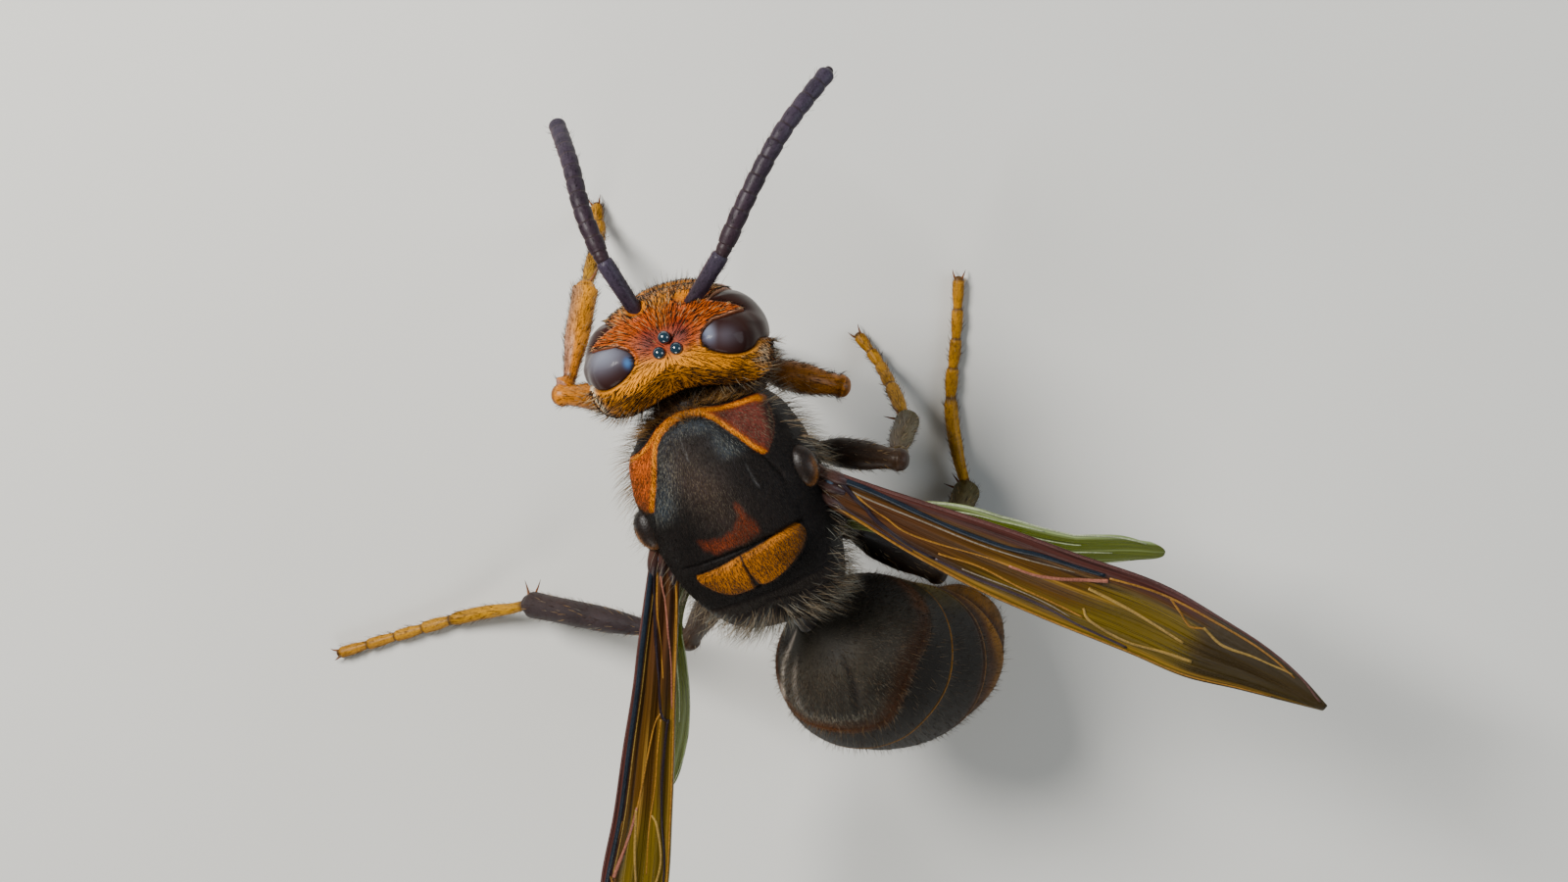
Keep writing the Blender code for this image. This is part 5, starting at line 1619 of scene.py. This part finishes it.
def scattered(points, normals, weight, count, random):
    """Random places on a grid, thicker where the weight is high: roots, normals, unwrap, cells."""
    side_a = points[1:, :] - points[:-1, :]
    side_b = np.roll(points, -1, axis=1)[:-1] - points[:-1]
    area = np.linalg.norm(np.cross(side_a, side_b), axis=-1) * weight[:-1]
    chance = np.cumsum(area.ravel())
    cells = np.searchsorted(chance, random.random(count) * chance[-1])
    row, column = cells // area.shape[1], cells % area.shape[1]
    s, t = random.random((2, count, 1))
    roots = points[row, column] + s * side_a[row, column] + t * side_b[row, column]
    unwrap = np.c_[(column + t[:, 0]) / points.shape[1], (row + s[:, 0]) / points.shape[0]]
    return roots, normals[row, column], unwrap, (row, column)


def spaced(rows, space):
    """Of hairs whose roots share a small cube only the first stays; the rest stand evenly."""
    roots, normals, unwrap, (row, column) = rows
    kept = np.sort(np.unique(np.floor(roots / space).astype(int), axis=0, return_index=True)[1])
    return roots[kept], normals[kept], unwrap[kept], (row[kept], column[kept])


def add_hairs(name, roots, normals, lie, lengths, width, rise, droop, unwrap, pale, warmth,
              sunk=0.008):
    """One mesh of hairs that start at an angle to the surface and bend over towards their lie."""
    count = len(roots)
    lie = unit(lie - normals * (lie * normals).sum(1, keepdims=True))
    side = unit(np.cross(lie, normals))
    lengths = lengths[:, None]
    steep = rise[:, None]
    first = unit(lie * np.cos(steep) + normals * np.sin(steep))
    second = unit(lie * np.cos(steep * droop) + normals * np.sin(steep * droop))
    start = roots - normals * sunk
    middle = start + first * lengths * 0.5
    tip = middle + second * lengths * 0.5
    up = np.cross(side, first)
    corners = []
    for centre, thick in ((start, 1.0), (middle, 0.72)):
        for turn in (math.pi / 2, math.pi * 7 / 6, math.pi * 11 / 6):
            offset = side * math.cos(turn) + up * math.sin(turn)
            corners.append(centre + offset * (width[:, None] * 0.5 * thick))
    corners.append(tip)
    points = np.stack(corners, axis=1)
    base = np.arange(count)[:, None] * 7
    shape = [(0, 1, 4), (0, 4, 3), (1, 2, 5), (1, 5, 4), (2, 0, 3), (2, 3, 5), (3, 4, 6), (4, 5, 6),
        (5, 3, 6), (2, 1, 0)]
    faces = (base[:, None] + np.array(shape)[None]).reshape(-1, 3)
    tone = {"pale": np.repeat(pale, 7), "warmth": np.repeat(warmth, 7)}
    piece = add_mesh(name, points, hair_look, tone, (), faces.tolist(), False)
    spots = np.array([(-1, -1), (0, -1), (1, -1), (-1, 0), (0, 0), (1, 0), (0, 1)]) * PATCH
    places = (unwrap[:, None] + spots[None]).reshape(-1, 2)
    layer = piece.data.uv_layers.new(name="OFBake")
    layer.data.foreach_set("uv", np.clip(places, 0, 1)[faces.ravel()].astype(np.float32).ravel())
    print(name, count, "hairs,", len(faces), "triangles")
    return piece


# %% [markdown]
# The head has short stiff hairs that lie in whorls round the simple eyes. They are dark, and
# stand apart so evenly that the golden shell shows between them as strokes. A few long
# bristles stand up at the temples and the front.
# %% Hair on the head
def nearest(points, places):
    """Distance from each point to the nearest of a few places."""
    return np.minimum.reduce([np.linalg.norm(points - np.array(one), axis=-1) for one in places])


random = np.random.default_rng(11)
outside = ease(0.03, 0.10, eye_edge) * (1 - 0.85 * head_masks["pale"])
near_sockets, near_ocelli = nearest(skull, FEELER_SOCKETS), nearest(skull, OCELLI)
head_normals = grid_normals(head_points)
weight = (outside * ease(0.25, 0.4, near_sockets) * ease(0.2, 0.3, near_ocelli)
    * (0.4 + 0.6 * ease(0.0, 1.2, skull[..., 2])))
weight *= (1 - 0.35 * ease(0.0, 0.5, skull[..., 1])) * (1 - 0.8 * ease(1.0, 1.5, skull[..., 1]))
roots, normals, unwrap, cells = spaced(scattered(head_points, head_normals, weight, 24000, random),
    0.098)
flow = roots - np.array([0.0, 0.20, 2.0])
swirl = np.stack([-flow[:, 1], flow[:, 0], 0 * flow[:, 2]], -1) * 0.30 * np.sign(roots[:, :1])
flow = flow + swirl * ease(0.0, 0.8, roots[:, 1:2])
flow = unit(flow) + random.normal(0, 0.07, flow.shape)
ahead = ease(-0.3, -1.0, roots[:, 1])
lengths = random.uniform(0.19, 0.29, len(roots))
pale = (random.random(len(roots)) < 0.01 + 0.22 * ahead) * random.uniform(0.5, 0.9, len(roots))
turned = lambda vectors: vectors @ head_pose[:3, :3].T
warm = np.clip(random.uniform(0.0, 0.22, len(roots)) + 0.5 * (pale > 0), 0, 1)
add_hairs("hair_head", on_head(roots), turned(normals), turned(flow), lengths,
          np.full(len(roots), 0.0255),
          random.uniform(0.12, 0.24, len(roots)) + 0.12 * ahead, 0.5, unwrap, pale, warm,
          0.004)
bristle = (ease(2.0, 2.7, np.abs(skull[..., 0])) + 0.12 * ease(-1.3, -1.7, skull[..., 1])
    + 0.5 * ease(1.35, 1.5, skull[..., 1]))
roots, normals, unwrap, cells = scattered(head_points, head_normals, outside * bristle, 950, random)
add_hairs("bristles_head", on_head(roots), turned(normals),
          turned(unit(roots - np.array([0, 0.3, 1.0]))),
          random.uniform(0.30, 0.62, len(roots)), np.full(len(roots), 0.0125),
          random.uniform(0.7, 1.2, len(roots)), 0.85,
          unwrap, (random.random(len(roots)) < 0.35) * 0.9, random.uniform(0.0, 0.7, len(roots)))


# %% [markdown]
# The back shield carries a close felt, the sides and the rear a longer soft fur, and the neck
# a dark ruff. The felt is thinned to an even spacing so that it reads as short strokes, and
# its tone follows the marking of the shell under it.
# %% Hair on the thorax
def wear(name, points, normals_of, weight, count, lie, lengths, width, rise, droop, pale_range,
         warmth, marks, light=0.0, space=0.0, stray=0.25):
    """Hairs on a grid; warmth and paleness follow the marking of the shell where each one grows."""
    rows = scattered(points, normals_of, weight, count, random)
    roots, normals, unwrap, cells = spaced(rows, space) if space else rows
    count = len(roots)
    way = lie(roots) + random.normal(0, stray, roots.shape)
    size = random.uniform(*lengths, count)
    marked = np.broadcast_to(marks, points.shape[:2])[cells]
    warm = np.clip(random.uniform(*warmth, count) + 0.9 * marked, 0, 1)
    bright = 2 * random.random(count) ** 2 * np.broadcast_to(light, points.shape[:2])[cells]
    pale = np.clip(random.uniform(*pale_range, count) + bright, 0, 1)
    return add_hairs(name, roots, normals, way, size, np.full(count, width),
                     random.uniform(*rise, count), droop, unwrap, pale, warm)


backward = lambda roots: np.tile((0.0, 1.0, -0.15), (len(roots), 1))
forward = lambda roots: roots * (0.5, 0, 0) + (0, -1.0, 0.5)
outward = lambda roots: np.sign(roots) * (0.8, 0, 0) + (0, 0.5, 0.2)
ty, tz = thorax[..., 1], thorax[..., 2]
thorax_normals = grid_normals(thorax_points)
bare = ease(0.02, 0.08, plate_edge)
clear_of_waist = ease(5.45, 5.2, ty) * ease(-2.45, -2.3, ty)
golden_marks = np.maximum.reduce([thorax_masks[mark] for mark in ("orange", "golden", "amber")])
coloured = np.clip(golden_marks + 0.25 * thorax_masks["rust"] + 0.3 * thorax_masks["felt"], 0, 1)
# The felt's hairs turn paler under the painted blue sheen, as well as over the felt and the wine
# patch.
pile_paleness_and_sheen = (0.50 * thorax_masks["blue_sheen_painted"] + 0.32 * thorax_masks["felt"]
    + 0.25 * thorax_masks["wine"])
wear("felt_thorax", thorax_points, thorax_normals, bare * ease(12.4, 13.2, tz) * clear_of_waist,
     30000, backward, (0.09, 0.17), 0.0155, (0.25, 0.55), 0.45, (0.0, 0.04), (0.0, 0.06), coloured,
     pile_paleness_and_sheen, space=0.055, stray=0.15)
sides = clear_of_waist * (ease(12.9, 12.2, tz) + 0.45 * ease(4.0, 4.3, ty))
wear("fur_thorax", thorax_points, thorax_normals, sides, 4800, outward,
     (0.35, 1.05), 0.0120, (0.75, 1.25), 0.75, (0.05, 0.85), (0.0, 0.4), 0.5 * golden_marks)
front = ease(-1.9, -2.2, ty) * ease(11.2, 12.0, tz) * ease(0.02, -0.03, collar_edge)
wear("ruff_thorax", thorax_points, thorax_normals, front, 1500, forward,
     (0.30, 0.70), 0.0120, (0.5, 1.1), 0.7, (0.0, 0.5), (0.2, 0.8), 0.3)
wear("down_plate", thorax_points, thorax_normals,
     ease(-0.02, -0.1, plate_edge) * ease(0.5, 0.2, notch), 7000, backward,
     (0.13, 0.20), 0.0200, (0.35, 0.55), 0.35, (0.0, 0.05), (0.0, 0.4), 0.05,
     space=0.095, stray=0.08)
neck_points, neck_normals = neck_grid["points"], neck_grid["normals"]
wear("ruff_neck", neck_points, neck_normals, ease(11.2, 11.8, neck_points[..., 2]), 1600, forward,
     (0.25, 0.60), 0.0120, (0.5, 1.1), 0.7, (0.0, 0.35), (0.1, 0.7), 0.0)
for side, ball in scale_balls.items():
    wear("down_scale_" + side, ball, grid_normals(ball), ease(12.6, 12.9, ball[..., 2]), 500,
         backward, (0.08, 0.14), 0.0100, (0.3, 0.6), 0.5, (0.0, 0.1), (0.0, 0.4), 0.0)

# %% [markdown]
# The first plate has the densest felt, with a pale row before its warm band. The later plates
# are nearly bare, with sparse hairs before their edges.
# %% Hair on the gaster
gaster_normals = grid_normals(gaster_shell_points)
away = ease(0.3, 0.7, distances) * (gaster_shell_points[..., 2] > 0.25)


def down_gaster(roots):
    apart = np.linalg.norm(roots[:, None] - way_centres[None, ::10], axis=-1)
    return unit(np.gradient(way_centres, axis=0))[10 * np.argmin(apart, axis=1)]


banded = np.maximum.reduce([gaster_masks[mark] for mark in ("warm", "olive", "golden")])
comb = np.where(plates == 0, dome(before_end - 0.90, 0.20) * dome(from_back - 62, 30), 0.0)
# The hairs on the painted rim highlight turn pale too.
rim = gaster_masks["painted_rim_highlight"]
wear("felt_gaster", gaster_shell_points, gaster_normals,
     away * np.where(plates == 0, 2.6, 0.4) * (1 - 0.7 * gaster_masks["dark"]),
     19500, down_gaster, (0.09, 0.18), 0.0120, (0.25, 0.5), 0.45, (0.0, 0.12), (0.0, 0.3),
     0.40 * banded, 0.8 * comb + 0.7 * rim + 0.12 * gaster_masks["felt"],
     stray=0.15)
wear("fringe_gaster", gaster_shell_points, gaster_normals,
     away * (dome(plate_shares - 0.93, 0.04) + 0.15), 3000,
     down_gaster, (0.18, 0.40), 0.0110, (0.6, 1.2), 0.7, (0.0, 0.40), (0.0, 0.4), 0.4 * banded)

# %% [markdown]
# Legs have short slanted hairs, mostly dark, and the feelers a fine dark down. They all lie
# towards the foot, so one mesh holds them, with a square of the unwrap for each limb.
# %% Hair on the legs and feelers
leg_roots, leg_normals, leg_unwrap, leg_lie, leg_shares = [], [], [], [], []
for k, limb in enumerate(limbs):
    fine = limb["name"].startswith(("whip", "scape"))
    number = 160 if fine else (900 if "fore" in limb["name"] else 480)
    inner = np.zeros(limb["points"].shape[:2])
    inner[8:-8] = 1
    inner *= limb["points"][..., 2] > 0.15
    roots, normals, unwrap, cells = scattered(limb["points"], limb["normals"], inner, number,
        random)
    ahead = unit(np.gradient(limb["points"].mean(1), axis=0))[cells[0]]
    leg_roots.append(roots)
    leg_normals.append(normals)
    leg_unwrap.append(unwrap * 0.18 + (0.2 * (k % 5), 0.2 * (k // 5 % 5)))
    leg_lie.append(ahead)
    leg_shares.append(np.full(len(roots), 0.0 if fine else 1.0))
roots, normals, unwrap, lie, leg_share = (
    np.concatenate(rows) for rows in (leg_roots, leg_normals, leg_unwrap, leg_lie, leg_shares))
count = len(roots)
add_hairs("hair_limbs", roots, normals, lie + random.normal(0, 0.12, roots.shape),
          random.uniform(0.14, 0.34, count), np.full(count, 0.012),
          random.uniform(0.35, 0.8, count), 0.6, unwrap,
          leg_share * (random.random(count) < 0.15) * 0.8,
          leg_share * random.uniform(0.1, 0.8, count))

# %% [markdown]
# A plain pale floor carries the model, and soft light comes from a large lamp above and from weaker
# ones at the side and the rear, as in a small studio. The lamps also make soft bright patches on
# the eyes, beside the highlights painted into the eyes' colour.
# %% Floor and light
def build_floor():
    material, tree, shader = new_material("floor")
    colour = mixed(tree, noise(tree, 60.0, 3.0), (0.60, 0.60, 0.57), (0.66, 0.66, 0.63))
    dress(tree, shader, colour, Roughness=0.8)
    mesh = bpy.data.meshes.new("floor")
    half = 0.6
    mesh.from_pydata([(-half, -half, 0), (half, -half, 0), (half, half, 0), (-half, half, 0)], [],
        [(0, 1, 2, 3)])
    mesh.materials.append(material)
    floor = bpy.data.objects.new("floor", mesh)
    bpy.context.scene.collection.objects.link(floor)


def add_lamp(name, place, aim, size, power, colour=(1, 1, 1)):
    lamp = bpy.data.lights.new(name, "AREA")
    lamp.shape, lamp.size, lamp.energy, lamp.color = "DISK", size * MM, power, colour
    holder = bpy.data.objects.new(name, lamp)
    place, aim = Vector(place) * MM, Vector(aim) * MM
    holder.location = place + Vector(ORIGIN)
    holder.rotation_euler = (aim - place).to_track_quat("-Z", "Y").to_euler()
    bpy.context.scene.collection.objects.link(holder)


build_floor()
add_lamp("main lamp", (32, -75, 100), (0, 2, 10), 50, 0.30, (1.0, 0.97, 0.93))
add_lamp("side lamp", (-95, 20, 60), (0, 2, 10), 60, 0.05, (0.85, 0.92, 1.0))
add_lamp("rear lamp", (50, 100, 70), (0, 2, 10), 60, 0.06, (1.0, 0.95, 0.88))
world = bpy.data.worlds.new("studio")
world.use_nodes = True
world.node_tree.nodes["Background"].inputs["Color"].default_value = (0.75, 0.84, 0.88, 1)
world.node_tree.nodes["Background"].inputs["Strength"].default_value = 0.13
bpy.context.scene.world = world
print("floor and", len(bpy.data.lights), "lamps")

# %% [markdown]
# The camera stands where the photographer did: far above the back, leaning to the hornet's
# right and a little to its front, with a long lens. Three angles and one point of aim fix it.
# %% Camera
LENS, SENSOR, PICTURE = 100.0, 36.0, (1600, 900)
LEAN_RIGHT, LEAN_FRONT, BODY_TURN = (math.radians(v) for v in (12.0, 10.0, 24.5))
AIM, AIM_PIXEL = np.array([0.0, 0.0, 14.2]), (726.0, 500.0)
PIXEL_SIZE = 0.0296                     # millimetres at the aim for each pixel of the photograph


def build_camera():
    reach = LENS / SENSOR * PICTURE[0]
    distance = PIXEL_SIZE * reach
    toward = unit(np.array([-math.tan(LEAN_RIGHT), -math.tan(LEAN_FRONT), 1.0]))
    rear = unit(np.array([0, 1.0, 0]) - toward * toward[1])
    right = -np.cross(toward, rear)
    right = -right if right[0] > 0 else right
    across = math.cos(BODY_TURN) * right + math.sin(BODY_TURN) * rear
    up = math.sin(BODY_TURN) * right - math.cos(BODY_TURN) * rear
    aside = (AIM_PIXEL[0] - PICTURE[0] / 2) / reach * distance
    above = -(AIM_PIXEL[1] - PICTURE[1] / 2) / reach * distance
    place = AIM + toward * distance - across * aside - up * above
    data = bpy.data.cameras.new("camera")
    data.lens, data.sensor_width, data.sensor_fit = LENS, SENSOR, "HORIZONTAL"
    data.clip_start, data.clip_end = 0.005, 10.0
    camera = bpy.data.objects.new("camera", data)
    pose = Matrix([[across[k], up[k], toward[k], 0] for k in range(3)] + [[0, 0, 0, 1]])
    camera.matrix_world = Matrix.Translation(Vector(place * MM + ORIGIN)) @ pose
    bpy.context.scene.collection.objects.link(camera)
    bpy.context.scene.camera = camera
    return place


print("camera at", build_camera().round(1).tolist(), "mm")
